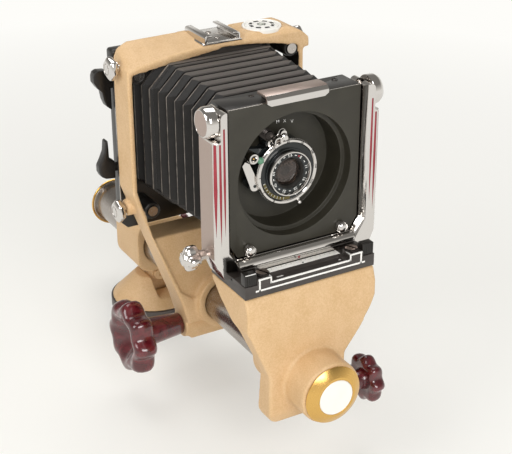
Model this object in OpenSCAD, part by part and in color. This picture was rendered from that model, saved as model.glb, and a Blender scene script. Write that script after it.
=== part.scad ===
/* [Rail] */
// Outer radius of the rail tube
rail_r = 22.5; // [20:0.5:25]
// Wall of the rail tube
rail_wall = 3; // [2:0.5:4]
// Front end of the tube, in front of the lens board's plane
rail_front = 65.5; // [62:0.5:90]
// Rear end of the tube, behind the lens board's plane
rail_rear = 406; // [400:1:440]
// Radius of the caps on the tube's ends
cap_r = 28; // [26:0.5:30]
// Depth of the caps
cap_depth = 6.5; // [5:0.5:9]

/* [Tilting head] */
// Height of the rail's axis over the foot
rail_h = 102; // [100:1:110]
// Distance of the head's turning axis behind the lens board's plane
head_y = 304; // [300:1:310]
// Radius of the foot and of the disc that turns on it
foot_r = 48; // [44:0.5:52]
// Thickness of the foot
foot_h = 18; // [16:0.5:20]
// Radius of the smooth wall of the tripod thread
tripod_hole_r = 4; // [3.5:0.1:5]
// Length of the tripod thread
tripod_hole_len = 12; // [10:0.5:14]
// Length of the clamp that holds the rail
clamp_len = 57; // [50:1:60]
// Half the width of the clamp
clamp_half = 30; // [29:0.5:33]

/* [Front standard] */
// Clearance between the lens board and each arm of the U frame
board_gap = 1.7; // [1.5:0.1:2.5]
// Lower edge of the lens board over the rail's axis
board_low = 120.6; // [119.5:0.1:121]
// Upper edge of the lens board over the rail's axis
board_high = 256.4; // [255:0.1:258]
// Rim between the lens board's side and its round well
well_rim = 8.4; // [8:0.2:12]
// Depth of the well's floor behind the board's front
well_depth = 33; // [30:0.5:34]
// Half the outer width of the U frame
u_half = 82; // [81:0.5:84]
// Width of each arm of the U frame
arm_w = 15.5; // [14:0.5:17]
// Depth of the U frame
u_depth = 27; // [26:0.5:30]
// Half the width of the swing plate and of the casting under it
plate_half = 66; // [62:0.5:68]
// Thickness of the swing plate
plate_h = 11.8; // [10:0.2:12]

/* [Lens] */
// Height of the lens axis over the rail's axis
lens_z = 184; // [180:0.5:188]
// Outer radius of the shutter's speed ring
speed_ring_r = 30; // [27:0.5:32]
// Radius of the shutter's case
shutter_r = 29; // [26:0.5:30]
// Radius of the lens glass
glass_r = 10.9; // [8:0.1:12]

/* [Bellows] */
// Number of folds
folds = 11; // [8:1:14]
// Half the width of the bellows at the lens frame
bellows_front_half = 62; // [60:0.5:64]
// Half the width of the bellows at the film back
bellows_rear_half = 77; // [70:0.5:78]
// Depth of a fold
fold_depth = 8; // [6:0.5:9]

/* [Rear standard] */
// Front plane of the rear frame behind the lens board's plane
rear_y = 137; // [134:1:140]
// Depth of the rear frame
rear_depth = 33; // [30:0.5:36]
// Half the outer width of the rear frame
rear_half = 92; // [91:0.5:96]
// Wall of the rear frame
rear_wall = 4.5; // [3.5:0.5:6]
// Top of the rear frame's arch over the rail's axis
arch_top = 265.3; // [264:0.1:268]
// Half the width of the film back
back_half = 86; // [84:0.5:88]
// Depth of the film back
back_depth = 18; // [15:0.5:20]

/* [Controls] */
// Radius of the rear handwheel
rear_wheel_r = 37; // [34:0.5:38]
// Radius of the front handwheel
front_wheel_r = 24; // [22:0.5:26]
// Number of lobes on a handwheel
lobes = 8; // [7:1:9]
// Radius of the drive shafts
shaft_r = 4; // [3:0.1:4.2]
// Number of teeth on a focusing pinion
pinion_teeth = 14; // [12:1:15]
// Radius of the clamp knobs on the rear frame
rod_knob_r = 11; // [9:0.5:12]
// Radius of the tilt knobs on the U frame
tilt_knob_r = 13.5; // [11:0.5:14]

/* [Hidden] */

$fn = 96;
// Radial clearance of a shaft or a tube that runs in a bore
run = 0.05;
// Clearance of flat faces that slide on each other
slip = 0.3;
// How far a cut reaches past the face that it opens
over = 1;

// Colours
tan_paint = "#E0BE92";
dark_paint = "#57524F";
black_paint = "#2B2826";
chrome = "#C9CACB";
brass = "#D8AE63";
bakelite = "#4F1624";

// Drive of both standards
tooth_pitch = PI;
pinion_r = pinion_teeth * tooth_pitch / (2 * PI);
pinion_w = 5;
rack_line = rail_r - 1.5;
drive_z = -(rack_line + pinion_r);
front_drive_y = -22;
rear_drive_y = 157;
tooth_tip = 0.7;
tooth_root = 1.3;
rack_root = 1;

// Heights of the front standard
casting_top = 94;
plate_low = casting_top + slip;
plate_top = plate_low + plate_h;
plate_front = -28;
plate_rear = 33;
plate_mid = (plate_front + plate_rear) / 2;
u_clear_half = u_half - arm_w;
board_half = u_clear_half - board_gap;
u_rear = 20;
u_front = u_rear - u_depth;
u_low = plate_top + slip;
u_bar_top = board_low - 1.4;
u_top = board_high + 1;
groove_d = 6;
rail_bar_y = 8;
rail_bar_w = 8;
rail_bar_low = u_low + 3.2;
tilt_z = board_high - 9.4;
rise_z = 124;
well_r = board_half - well_rim;
board_mid = board_low + 66.1;
board_t = 2.5;
frame_front = board_t;
frame_rear = 30;
frame_half = board_half + 0.2;
frame_wall = 5;
frame_low = board_low + 1;

// Heights of the head, below the rail's axis
foot_low = -rail_h;
foot_top = foot_low + foot_h;
head_drop = -clamp_half - foot_top;
disc_top = foot_top + head_drop * 11 / 54;
fork_top = foot_top + head_drop * 40 / 54;
fork_top_r = 20;
tilt_pin_z = foot_top + head_drop * 24 / 54;
tilt_pin_r = 5;
side_pin_z = foot_top + head_drop * 42 / 54;
side_pin_r = 4;
cheek_gap = 10;
knuckle_r = head_drop * 11.5 / 54;

// Rear frame
back_y = rear_y + rear_depth + 12;
bellows_y0 = frame_rear + 0.2;
bellows_y1 = back_y - 0.2;
arch_r = 364;
brim_half = rear_half + 6.5;
rear_open_low = 82.3;
rod_r = 5;
upper_rod = [80, 247.5];
lower_rod = [72, 112];
rod_knob_y = rear_y + 23;

// Puts the rail's frame over the middle of the foot
module at_rail() {
    translate([0, -head_y, rail_h]) children();
}

// A cylinder along X between two places
module rod_x(r, x0, x1, y, z) {
    translate([min(x0, x1), y, z]) rotate([0, 90, 0]) cylinder(r = r, h = abs(x1 - x0));
}

// A cylinder along Y between two places
module rod_y(r, y0, y1, x = 0, z = 0) {
    translate([x, y1, z]) rotate([90, 0, 0]) cylinder(r = r, h = y1 - y0);
}

// A cone along Y between two places
module cone_y(r0, r1, y0, y1, x = 0, z = 0) {
    translate([x, y0, z]) rotate([-90, 0, 0]) cylinder(r1 = r0, r2 = r1, h = y1 - y0);
}

// A cone along X between two places
module cone_x(r0, r1, x0, x1, y, z) {
    translate([x0, y, z]) rotate([0, 90, 0]) cylinder(r1 = r0, r2 = r1, h = x1 - x0);
}

// A box between two corners
module block(low, high) {
    translate(low) cube(high - low);
}

// An outline in X and Z, given a depth along Y
module slab_y(y0, y1) {
    translate([0, y1, 0]) rotate([90, 0, 0]) linear_extrude(y1 - y0) children();
}

// An outline in Y and Z, given a width along X
module slab_x(x0, x1) {
    translate([x0, 0, 0]) rotate([90, 0, 90]) linear_extrude(x1 - x0) children();
}

// A rectangle from its sides
module sheet(x0, x1, z0, z1) {
    translate([x0, z0]) square([x1 - x0, z1 - z0]);
}

// A lobed wheel that turns about X, with chamfered lobes
module lobed_wheel(r, thick, count, x, y, z) {
    lobe_r = count > 6 ? r * 0.23 : r * 0.27;
    edge = thick * (count > 6 ? 0.2 : 0.24);
    ring_r = r - lobe_r;
    translate([x, y, z]) rotate([0, 90, 0]) {
        translate([0, 0, -thick / 2 + edge / 2]) cylinder(r = ring_r, h = thick - edge);
        for (i = [0:count - 1]) {
            rotate([0, 0, (i + 0.5) * 360 / count]) translate([ring_r, 0, 0]) {
                translate([0, 0, -thick / 2 + edge]) cylinder(r = lobe_r, h = thick - 2 * edge);
                translate([0, 0, thick / 2 - edge]) {
                    cylinder(r1 = lobe_r, r2 = lobe_r - edge, h = edge);
                }
                translate([0, 0, -thick / 2]) {
                    cylinder(r1 = lobe_r - edge, r2 = lobe_r, h = edge);
                }
            }
        }
    }
}

// Outline of a pinion whose first tooth points up
module pinion_outline(teeth, r, tip, root) {
    circle(r = r - root);
    pitch = 2 * PI * r / teeth;
    for (i = [0:teeth - 1]) {
        rotate(i * 360 / teeth) polygon([
            [-pitch * 0.36, r - root - 0.5], [pitch * 0.36, r - root - 0.5],
            [pitch * 0.15, r + tip], [-pitch * 0.15, r + tip]
        ]);
    }
}

// The tripod foot
module foot() {
    color(dark_paint) difference() {
        union() {
            translate([0, 0, 2]) cylinder(r = foot_r, h = foot_h - 2);
            cylinder(r1 = foot_r - 2, r2 = foot_r, h = 2);
            translate([0, 0, foot_h]) cylinder(r = pivot_r, h = pivot_h);
        }
        translate([0, 0, -over]) cylinder(r = bush_r, h = tripod_hole_len + 2 + over + slip);
        rotate([0, 0, 90]) rod_x(lock_r + run, foot_r - lock_len, foot_r + over, 0, foot_h / 2);
    }
}
pivot_r = 9;
pivot_h = 8;
bush_r = 8;
lock_r = 3;
lock_len = 14;

// The threaded bush that takes the tripod screw
module thread_bush() {
    color(brass) difference() {
        cylinder(r = bush_r, h = tripod_hole_len + 2);
        translate([0, 0, -over]) cylinder(r = tripod_hole_r, h = tripod_hole_len + over);
    }
}

// The screw that stops the head from turning
module pan_lock_screw() {
    color(chrome) rotate([0, 0, 90]) {
        rod_x(lock_r, foot_r - lock_len + 0.5, foot_r + 3, 0, foot_h / 2);
        difference() {
            rod_x(6.5, foot_r + 3, foot_r + 12, 0, foot_h / 2);
            for (i = [0:7]) {
                translate([foot_r + 2, 0, foot_h / 2]) rotate([45 * i, 0, 0]) {
                    rod_x(1.2, 0, 11, 0, 6.9);
                }
            }
        }
    }
}

// The disc that turns on the foot
module pan_disc() {
    color(dark_paint) translate([0, 0, foot_h + slip]) difference() {
        cylinder(r = foot_r + 0.5, h = disc_top - foot_top - slip);
        translate([0, 0, -over]) cylinder(r = pivot_r + run, h = pivot_h + over);
    }
}

// The fork whose cheeks hold the tilt pin
module tilt_fork() {
    color(tan_paint) at_rail() translate([0, head_y, 0]) difference() {
        translate([0, 0, disc_top]) cylinder(r1 = foot_r, r2 = fork_top_r, h = fork_top - disc_top);
        block([-cheek_gap, -foot_r, tilt_pin_z - 2], [cheek_gap, foot_r, fork_top + over]);
        block([-cheek_gap, -knuckle_r - 2, disc_top - over], [cheek_gap, knuckle_r + 2, tilt_pin_z]);
        rod_x(tilt_pin_r, -pin_end, foot_r, 0, tilt_pin_z);
        block([pin_half, -9, tilt_pin_z - 9], [foot_r, 9, fork_top + over]);
    }
}
pin_half = 30;
pin_end = 26;

// The pin that the head tilts on
module tilt_pin() {
    color(chrome) at_rail() translate([0, head_y, 0]) {
        rod_x(tilt_pin_r, -pin_end, pin_half + 4, 0, tilt_pin_z);
    }
}

// The lever that tightens the tilt pin
module tilt_lever() {
    color(bakelite) at_rail() translate([0, head_y, 0]) {
        difference() {
            rod_x(8, pin_half + slip, pin_half + 10, 0, tilt_pin_z);
            rod_x(tilt_pin_r + run, pin_half, pin_half + 4 + slip, 0, tilt_pin_z);
        }
        translate([0, 0, tilt_pin_z]) rotate([42, 0, 0]) {
            translate([pin_half + 6, 0, 0]) rotate([0, 12, 0]) {
                cylinder_y(3.4, 2.6, 6, 44);
                translate([0, 44, 0]) sphere(r = 5.5);
            }
        }
    }
}

// A tapered rod from the origin's side along Y
module cylinder_y(r0, r1, y0, y1) {
    translate([0, y0, 0]) rotate([-90, 0, 0]) cylinder(r1 = r0, r2 = r1, h = y1 - y0);
}

// The block that joins both tilting axes
module gimbal_block() {
    width = cheek_gap - slip;
    barrel_y = 7.7;
    color(tan_paint) at_rail() translate([0, head_y, 0]) difference() {
        union() {
            rod_x(knuckle_r, -width, width, 0, tilt_pin_z);
            rod_y(8, -barrel_y, barrel_y, 0, side_pin_z);
            block([-8, -barrel_y, tilt_pin_z], [8, barrel_y, side_pin_z]);
        }
        rod_x(tilt_pin_r + run, -foot_r, foot_r, 0, tilt_pin_z);
        rod_y(side_pin_r, -foot_r, foot_r, 0, side_pin_z);
    }
}

// The pin that the clamp leans sideways on, with its dimpled heads
module side_pin() {
    color(tan_paint) at_rail() translate([0, head_y, 0]) difference() {
        union() {
            rod_y(side_pin_r, -lug_out - 3, lug_out + 3, 0, side_pin_z);
            rod_y(6.2, -lug_out - 4.5, -lug_out - slip, 0, side_pin_z);
            rod_y(6.2, lug_out + slip, lug_out + 4.5, 0, side_pin_z);
        }
        for (side = [-1, 1]) {
            translate([0, side * (lug_out + 5.2), side_pin_z]) sphere(r = 2);
        }
    }
}
lug_in = 8;
lug_out = 14;

// The clamp that the rail slides in
module rail_clamp() {
    corner = 16;
    flat = clamp_half - corner;
    color(tan_paint) at_rail() translate([0, head_y, 0]) difference() {
        union() {
            slab_y(-clamp_len / 2, clamp_len / 2) {
                square([2 * clamp_half, 2 * flat], center = true);
                square([2 * flat, 2 * clamp_half], center = true);
                for (sx = [-1, 1], sz = [-1, 1]) {
                    translate([sx * flat, sz * flat]) circle(r = corner);
                }
            }
            for (side = [-1, 1]) {
                lug_mid = side * (lug_in + lug_out) / 2;
                half = (lug_out - lug_in) / 2;
                rod_y(8, lug_mid - half, lug_mid + half, 0, side_pin_z);
                block([-8, lug_mid - half, side_pin_z], [8, lug_mid + half, -clamp_half + 2]);
            }
            rod_x(9, clamp_half - 2, clamp_half + 3, 0, 0);
        }
        rod_y(rail_r + run, -clamp_len, clamp_len);
        rod_y(side_pin_r + run, -foot_r, foot_r, 0, side_pin_z);
        rod_x(4 + run, 0, clamp_half + 2 * over + 3, 0, 0);
    }
}

// The knob that locks the rail in its clamp
module clamp_knob() {
    color(bakelite) at_rail() {
        rod_x(4, rail_r + slip, clamp_half + 5, head_y, 0);
        cone_x(8, 6, clamp_half + 3 + slip, clamp_half + 9, head_y, 0);
        lobed_wheel(14, 10, 6, clamp_half + 13, head_y, 0);
    }
}

// The tube that both standards slide on, slotted below for its rack
module rail_tube() {
    color(chrome) at_rail() difference() {
        rod_y(rail_r, -rail_front, rail_rear);
        rod_y(rail_r - rail_wall, -rail_front - over, rail_rear + over);
        block([-rack_half, -rail_front + 8, -rail_r - over],
              [rack_half, rail_rear - 8, -rail_r + rail_wall + over]);
    }
}
rack_half = 3;

// Toothed stretch of the rack round one pinion, to a reach on each side
module rack_teeth(y, before, after) {
    first = -ceil(before / tooth_pitch);
    last = ceil(after / tooth_pitch);
    slab_x(-rack_half, rack_half) for (i = [first:last]) {
        translate([y + (i + 0.5) * tooth_pitch, -rack_line]) polygon([
            [-0.85, rack_root + 0.3], [0.85, rack_root + 0.3],
            [0.35, -tooth_tip], [-0.35, -tooth_tip]
        ]);
    }
}

// The rack in the tube's slot, with teeth where the standards travel
module rail_rack() {
    color(brass) at_rail() {
        block([-rack_half, -rail_front + 8, -rack_line + rack_root],
              [rack_half, rail_rear - 8, -rack_line + rack_root + 1.5]);
        block([-5, -rail_front + 8, -rail_r + rail_wall + 0.9],
              [5, rail_rear - 8, -rail_r + rail_wall + 3]);
        rack_teeth(front_drive_y, 12, front_travel + 12);
        rack_teeth(rear_drive_y, rear_back_travel + 12, rear_travel + 12);
    }
}
front_travel = 38;
rear_travel = 45;
rear_back_travel = 20;

// The conical rings on the ends of the tube
module cap_rings() {
    color(brass) at_rail() for (end = [0, 1]) {
        y = end == 0 ? -rail_front : rail_rear;
        dir = end == 0 ? -1 : 1;
        translate([0, y, 0]) rotate([-90 * dir, 0, 0]) difference() {
            union() {
                cylinder(r1 = cap_r, r2 = cap_r - 8.5, h = cap_depth);
                translate([0, 0, -5]) cylinder(r = rail_r - rail_wall - 0.1, h = 5);
            }
            translate([0, 0, cap_depth - 2.5]) cylinder(r = disc_r + 0.1, h = 2.5 + over);
        }
    }
}
disc_r = 17;

// The white discs in the caps
module cap_discs() {
    color("ivory") at_rail() for (end = [0, 1]) {
        y = end == 0 ? -rail_front : rail_rear;
        dir = end == 0 ? -1 : 1;
        translate([0, y, 0]) rotate([-90 * dir, 0, 0]) {
            translate([0, 0, cap_depth - 2.5]) cylinder(r = disc_r, h = 2.9);
        }
    }
}

// Front outline of the front casting, narrow below and wide under the plate
module front_outline() {
    left = -45;
    right = 34;
    low = drive_z - 11.2;
    polygon([
        [-plate_half, casting_top], [plate_half, casting_top], [plate_half, 66],
        [plate_half - 4, 56], [51, 38], [right, 16], [right, low + 6], [right - 6, low],
        [left + 12, low], [left, low + 12], [left, 12], [-plate_half + 4, 54], [-plate_half, 62]
    ]);
    translate([left + 12, low + 12]) circle(r = 12);
}

// Side outline of the front casting, thin below and deep under the plate
module front_side() {
    low = drive_z - 11.2;
    polygon([
        [plate_front, casting_top], [plate_front - 4, casting_top - 12], [plate_front - 6, 20],
        [plate_front - 6, drive_z], [front_drive_y - 8, low], [front_drive_y + 8, low],
        [front_drive_y + 11.2, drive_z], [front_drive_y + 6, 20], [front_drive_y + 14, 58],
        [plate_rear - 14, 76], [plate_rear - 3, 86], [plate_rear, 89], [plate_rear, casting_top]
    ]);
    translate([front_drive_y, drive_z]) circle(r = 11.2);
}

// The casting that carries the front standard on the rail
module front_casting() {
    color(tan_paint) at_rail() difference() {
        union() {
            intersection() {
                slab_y(-60, 60) front_outline();
                slab_x(-80, 80) front_side();
            }
            rod_y(front_boss_r - 1.5, -rail_front + slip, 26);
            rod_y(front_boss_r, -rail_front + slip + 1.5, 25);
        }
        rod_y(rail_r + run, -100, 100);
        rod_x(shaft_r + run, -42, 60, front_drive_y, drive_z);
        rod_x(pinion_r + tooth_tip + 0.8, -pinion_w / 2 - 0.5, pinion_w / 2 + 0.5,
              front_drive_y, drive_z);
        translate([0, plate_mid, casting_top - pivot_deep]) cylinder(r = 6, h = 20);
    }
}
front_boss_r = 30;
pivot_deep = 12;

// A drive shaft with its pinion, from one end to the other
module drive_shaft(x0, x1, y) {
    rod_x(shaft_r, x0, x1, y, drive_z);
    translate([0, y, drive_z]) slab_x(-pinion_w / 2, pinion_w / 2) {
        pinion_outline(pinion_teeth, pinion_r, tooth_tip, tooth_root);
    }
}

// The front standard's shaft and pinion
module front_pinion() {
    color(chrome) at_rail() drive_shaft(-40, 56, front_drive_y);
}

// The front standard's handwheel
module front_handwheel() {
    color(bakelite) at_rail() difference() {
        union() {
            lobed_wheel(front_wheel_r, front_wheel_w, lobes, front_wheel_x, front_drive_y, drive_z);
            cone_x(7.5, 9.5, 34.5, 58, front_drive_y, drive_z);
        }
        cone_x(6, front_wheel_r * 0.62, front_wheel_x - 0.5, front_wheel_x + front_wheel_w / 2 + 0.01,
               front_drive_y, drive_z);
        rod_x(shaft_r, 30, 56, front_drive_y, drive_z);
    }
}
front_wheel_x = 64;
front_wheel_w = 14;

// The stud that the swing plate turns on
module swing_pivot() {
    color(chrome) at_rail() translate([0, plate_mid, 0]) {
        translate([0, 0, casting_top - pivot_deep]) cylinder(r = 6, h = pivot_deep + 5.6);
        translate([0, 0, casting_top + 5.5]) cylinder(r = 9, h = 2.7);
    }
}

// Outline of the shift slide's dovetail, up to a level
module dovetail(grow, top) {
    low = plate_top - dovetail_deep - grow;
    draw = (top - low) * 0.4;
    polygon([
        [dovetail_y0 - grow, low], [dovetail_y1 + grow, low],
        [dovetail_y1 + grow - draw, top], [dovetail_y0 - grow + draw, top]
    ]);
}
dovetail_y0 = -5;
dovetail_y1 = 21;
dovetail_deep = 3.2;

// The black plate that swings on the casting
module swing_plate() {
    color(dark_paint) at_rail() difference() {
        union() {
            block([-plate_half, plate_front, plate_low], [plate_half, plate_rear, plate_top]);
            block([-ruler_half, ruler_y0, plate_top - 1], [ruler_half, u_front - 1, plate_top + 1.4]);
        }
        translate([0, plate_mid, plate_low - over]) cylinder(r = 6 + run, h = 20);
        translate([0, plate_mid, casting_top + 5.2]) cylinder(r = 9.3, h = 20);
        slab_x(-plate_half - over, plate_half + over) dovetail(0.15, plate_top + over);
        block([-recess_half, plate_front + 1.5, plate_top - 2], [recess_half, ruler_y0, plate_top + over]);
        for (side = [-1, 1]) {
            translate([side * screw_x, screw_y, plate_top - 8]) cylinder(r = 2.5 + run, h = 10);
        }
    }
}
screw_x = plate_half - 20.5;
screw_y = -21.3;
ruler_half = 38;
ruler_y0 = -15.5;
recess_half = 36;

// The blocks on the swing plate's front corners
module end_blocks() {
    color(black_paint) at_rail() for (side = [-1, 1]) {
        block([side > 0 ? block_in : -block_out, plate_front + 1, plate_top],
              [side > 0 ? block_out : -block_in, plate_front + 9, plate_top + 11]);
    }
}

block_in = plate_half - 12;
block_out = plate_half - 0.5;

// A capstan screw that locks the slide
module clamp_screw(side) {
    color(black_paint) at_rail() translate([side * screw_x, screw_y, plate_top]) difference() {
        union() {
            translate([0, 0, -7]) cylinder(r = 2.5, h = 8);
            translate([0, 0, slip]) cylinder(r = 6.3, h = 8.2);
            translate([0, 0, slip + 8.2]) cylinder(r1 = 6.3, r2 = 5, h = 1.3);
        }
        for (i = [0:5]) {
            rotate([0, 0, 60 * i]) translate([7.4, 0, 0]) cylinder(r = 2, h = 10);
        }
    }
}

// The slide that carries the U frame sideways
module shift_slide() {
    color(chrome) at_rail() slab_x(-58, 58) dovetail(0, u_low);
}

// Outline of the U frame, whose arms have a narrow neck beside each tilt knob
module u_outline() {
    neck_mid = (neck_half + u_clear_half) / 2;
    neck_r = (neck_half - u_clear_half) / 2;
    difference() {
        union() {
            sheet(-u_half, u_half, u_low + 19, seat_z);
            sheet(-neck_half, neck_half, u_low + 19, u_top - neck_r);
            polygon([
                [-u_half, u_low + 20], [-u_half, u_low + 19], [-u_half + 8, u_low],
                [u_half - 8, u_low], [u_half, u_low + 19], [u_half, u_low + 20]
            ]);
            for (side = [-1, 1]) translate([side * neck_mid, u_top - neck_r]) circle(r = neck_r);
        }
        polygon([
            [-u_clear_half, u_top + over], [-u_clear_half, u_bar_top + corner_x * corner_slope],
            [-u_clear_half + corner_x, u_bar_top], [u_clear_half - corner_x, u_bar_top],
            [u_clear_half, u_bar_top + corner_x * corner_slope], [u_clear_half, u_top + over]
        ]);
    }
}
corner_x = 8.2;
neck_half = u_half - 6.5;
seat_z = tilt_z - tilt_knob_r - slip;

// Sloped opening in front of the lens board, bounded by one plane for each side
module front_bevel() {
    reach = -u_front + over;
    far = 400;
    intersection() {
        slab_x(-far, far) polygon([
            [0, u_bar_top], [-reach, u_bar_top - bar_slope * reach], [-reach, far], [0, far]
        ]);
        linear_extrude(far) polygon([
            [-u_clear_half, 0], [-u_clear_half - arm_slope * reach, -reach],
            [u_clear_half + arm_slope * reach, -reach], [u_clear_half, 0]
        ]);
        corner_bevel(-1, reach, far);
        corner_bevel(1, reach, far);
    }
}
bar_slope = 1.13;
arm_slope = 0.43;

// Plane that bounds the sloped opening at one lower corner
module corner_bevel(side, reach, far) {
    tip = atan(corner_slope);
    translate([side * (u_clear_half - corner_x), 0, u_bar_top]) rotate([0, -side * tip, 0]) {
        slab_x(-far, far) polygon([[0, 0], [-reach, -0.5 * reach], [-reach, far], [0, far]]);
    }
}

// The chrome frame between whose arms the lens frame rises, with its scale ledge
module u_frame() {
    half_w = rail_bar_w / 2;
    color(chrome) at_rail() difference() {
        slab_y(u_front, u_rear) u_outline();
        front_bevel();
        for (side = [-1, 1]) linear_extrude(400) polygon([
            [side * (u_half - 3.9), u_front - over], [side * (u_half + over), u_front - over],
            [side * (u_half + over), u_front + 4.7]
        ]);
        for (side = [-1, 1]) {
            block([side > 0 ? u_clear_half - over : -u_clear_half - groove_d,
                   rail_bar_y - half_w - 0.2, rail_bar_low - 0.3],
                  [side > 0 ? u_clear_half + groove_d : -u_clear_half + over,
                   rail_bar_y + half_w + 0.2, u_top + over]);
            block([side > 0 ? u_clear_half : -u_half - over,
                   rail_bar_y - stud_r - 0.3, tilt_z - stud_r - 0.3],
                  [side > 0 ? u_half + over : -u_clear_half,
                   rail_bar_y + stud_r + 0.3, u_top + over]);
        }
        rod_x(rise_shaft_r + run, -u_half - over, -u_clear_half + 0.5, rise_y, rise_z);
        rod_x(rise_pinion_r + 0.9, -u_clear_half - groove_d, -u_clear_half + over, rise_y, rise_z);
    }
}
stud_r = 3;
rise_shaft_r = 2.4;
rise_teeth = 10;
rise_pitch = 1.9;
rise_pinion_r = rise_teeth * rise_pitch / (2 * PI);
rise_y = rail_bar_y + rail_bar_w / 2 - 0.6 + rise_pinion_r;

// The bars that rise in the arms' grooves, one of them toothed for the knob
module rise_rails() {
    half_w = rail_bar_w / 2;
    in_x = u_clear_half + 0.3;
    out_x = u_clear_half + groove_d - 0.3;
    line_y = rail_bar_y + half_w - 0.6;
    color(chrome) at_rail() difference() {
        for (side = [-1, 1]) {
            block([side > 0 ? in_x : -out_x, rail_bar_y - half_w, rail_bar_low],
                  [side > 0 ? out_x : -in_x, rail_bar_y + half_w, u_top - 3]);
        }
        rod_x(stud_r + run, -u_half, u_half, rail_bar_y, tilt_z);
        slab_x(-out_x - over, -in_x + over) for (i = [-8:2]) {
            translate([line_y, rise_z + i * rise_pitch]) polygon([
                [0.7, -0.86], [0.7, 0.86], [-0.8, 0.42], [-0.8, -0.42]
            ]);
        }
    }
}

// The lobed knob and pinion that raise the lens frame
module rise_knob() {
    in_x = -u_clear_half - 0.5;
    color(chrome) at_rail() {
        rod_x(rise_shaft_r, -u_half - 8, in_x, rise_y, rise_z);
        cone_x(7, 4.5, -u_half - 9, -u_half - slip, rise_y, rise_z);
        lobed_wheel(11.5, 12, 4, -u_half - 14.5, rise_y, rise_z);
        translate([0, rise_y, rise_z]) slab_x(in_x - 5, in_x) rotate(90) {
            pinion_outline(rise_teeth, rise_pinion_r, 0.45, 0.8);
        }
    }
}

// A round knob whose stud carries the lens frame
module tilt_knob(side) {
    face = neck_half + slip;
    color(chrome) at_rail() {
        rod_x(stud_r, side * (frame_half - 5), side * face, rail_bar_y, tilt_z);
        rod_x(tilt_knob_r, side * face, side * (face + 8.8), rail_bar_y, tilt_z);
        rod_x(tilt_knob_r - 2.2, side * face, side * (face + 11.2), rail_bar_y, tilt_z);
    }
}

// Outline of the board or its frame, with the lower corners cut
module cut_corner_outline(half, low, high, corner, slope) {
    polygon([
        [-half, high], [-half, low + corner * slope], [-half + corner, low],
        [half - corner, low], [half, low + corner * slope], [half, high]
    ]);
}

// The black frame that holds the lens board
module lens_frame() {
    color(black_paint) at_rail() difference() {
        slab_y(frame_front, frame_rear) {
            cut_corner_outline(frame_half, frame_low, board_high, board_corner, corner_slope);
        }
        slab_y(frame_front - over, frame_rear + over) {
            cut_corner_outline(frame_half - frame_wall, board_low + 5.4, board_high - 6.4, 20, 0.9);
        }
        rod_x(stud_r + run, -frame_half + 5 + slip, -frame_half - over, rail_bar_y, tilt_z);
        rod_x(stud_r + run, frame_half - 5 - slip, frame_half + over, rail_bar_y, tilt_z);
        for (side = [-1, 1]) {
            rod_y(stud_shank, 0, 12, side * board_stud_x, board_stud_z);
            translate([side * latch_pin_x, latch_pin_y, board_high - 8]) cylinder(r = 2 + run, h = 20);
        }
    }
}
board_stud_x = board_half - 18;
board_stud_z = board_low + 5.8;
stud_shank = 1.8;
latch_pin_x = 20;
latch_pin_y = 9;

// The studs that hold the board's lower edge
module board_studs() {
    color(chrome) at_rail() for (side = [-1, 1]) {
        rod_y(stud_shank, -1, 11, side * board_stud_x, board_stud_z);
        rod_y(4.2, -4.5, 0, side * board_stud_x, board_stud_z);
        cone_y(3.2, 4.2, -5.5, -4.5, side * board_stud_x, board_stud_z);
    }
}

// The board with its round well
module lens_board() {
    wall = board_wall;
    color("#3A3833") at_rail() difference() {
        union() {
            slab_y(0, board_t) {
                cut_corner_outline(board_half, board_low, board_high, board_corner, corner_slope);
            }
            rod_y(well_r + wall, 1, well_step + wall, 0, board_mid);
            rod_y(well_r - well_ledge + wall, 1, well_depth + wall, 0, board_mid);
        }
        rod_y(well_r, -over, well_step, 0, board_mid);
        rod_y(well_r - well_ledge, 0, well_depth, 0, board_mid);
        rod_y(mount_r, well_depth - over, well_depth + 2 * wall, 0, lens_z);
        for (side = [-1, 1]) {
            rod_y(stud_shank, -over, 4, side * board_stud_x, board_stud_z);
        }
    }
}
board_wall = 1.6;
board_corner = 7.5;
corner_slope = 1.6;
well_step = 10;
well_ledge = 4;
mount_r = 17.4;

// The latch that holds the board's upper edge
module board_latch() {
    color(chrome) at_rail() {
        block([-30, -3.5, board_high + 4.5], [30, 14, board_high + 7]);
        block([-30, -3.5, board_high - 2.6], [30, -0.5, board_high + 4.6]);
        block([-26, 3.5, board_high + 0.3], [26, 14, board_high + 4.6]);
        for (side = [-1, 1]) {
            translate([side * latch_pin_x, latch_pin_y, board_high - 7.5]) cylinder(r = 2, h = 10);
        }
    }
}

// The shutter's case, with the lug of its cocking lever
module shutter_case() {
    color("#9A9A98") at_rail() difference() {
        union() {
            rod_y(shutter_r, case_front, well_depth, 0, lens_z);
            rod_y(hub_r, hub_front, case_front + 1, 0, lens_z);
            rod_y(mount_r - run, well_depth - 1, well_depth + 6, 0, lens_z);
            for (p = [cocking_at, release_at]) {
                rod_y(5, case_front, well_depth - 3, p[0], lens_z + p[1]);
                rod_y(1.5, case_front - 2.4, case_front + 1, p[0], lens_z + p[1]);
            }
            slab_y(case_front + 2, well_depth - 6) polygon([
                [-20, lens_z + 14], [-12, lens_z + 22], [-36, lens_z + 26], [-40, lens_z + 20]
            ]);
        }
        rod_y(cell_bore, 0, well_depth + 20, 0, lens_z);
        rod_y(socket_r, 0, well_depth, socket_at[0], lens_z + socket_at[1]);
    }
}
case_front = 18.4;
hub_front = 12.4;
hub_r = 21.9;
cell_bore = 14.5;
cocking_at = [-31, -8];
release_at = [-14, 28];
socket_at = [-0.706 * (well_r - well_ledge), 0.42 * (well_r - well_ledge)];
socket_r = 4;

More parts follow.
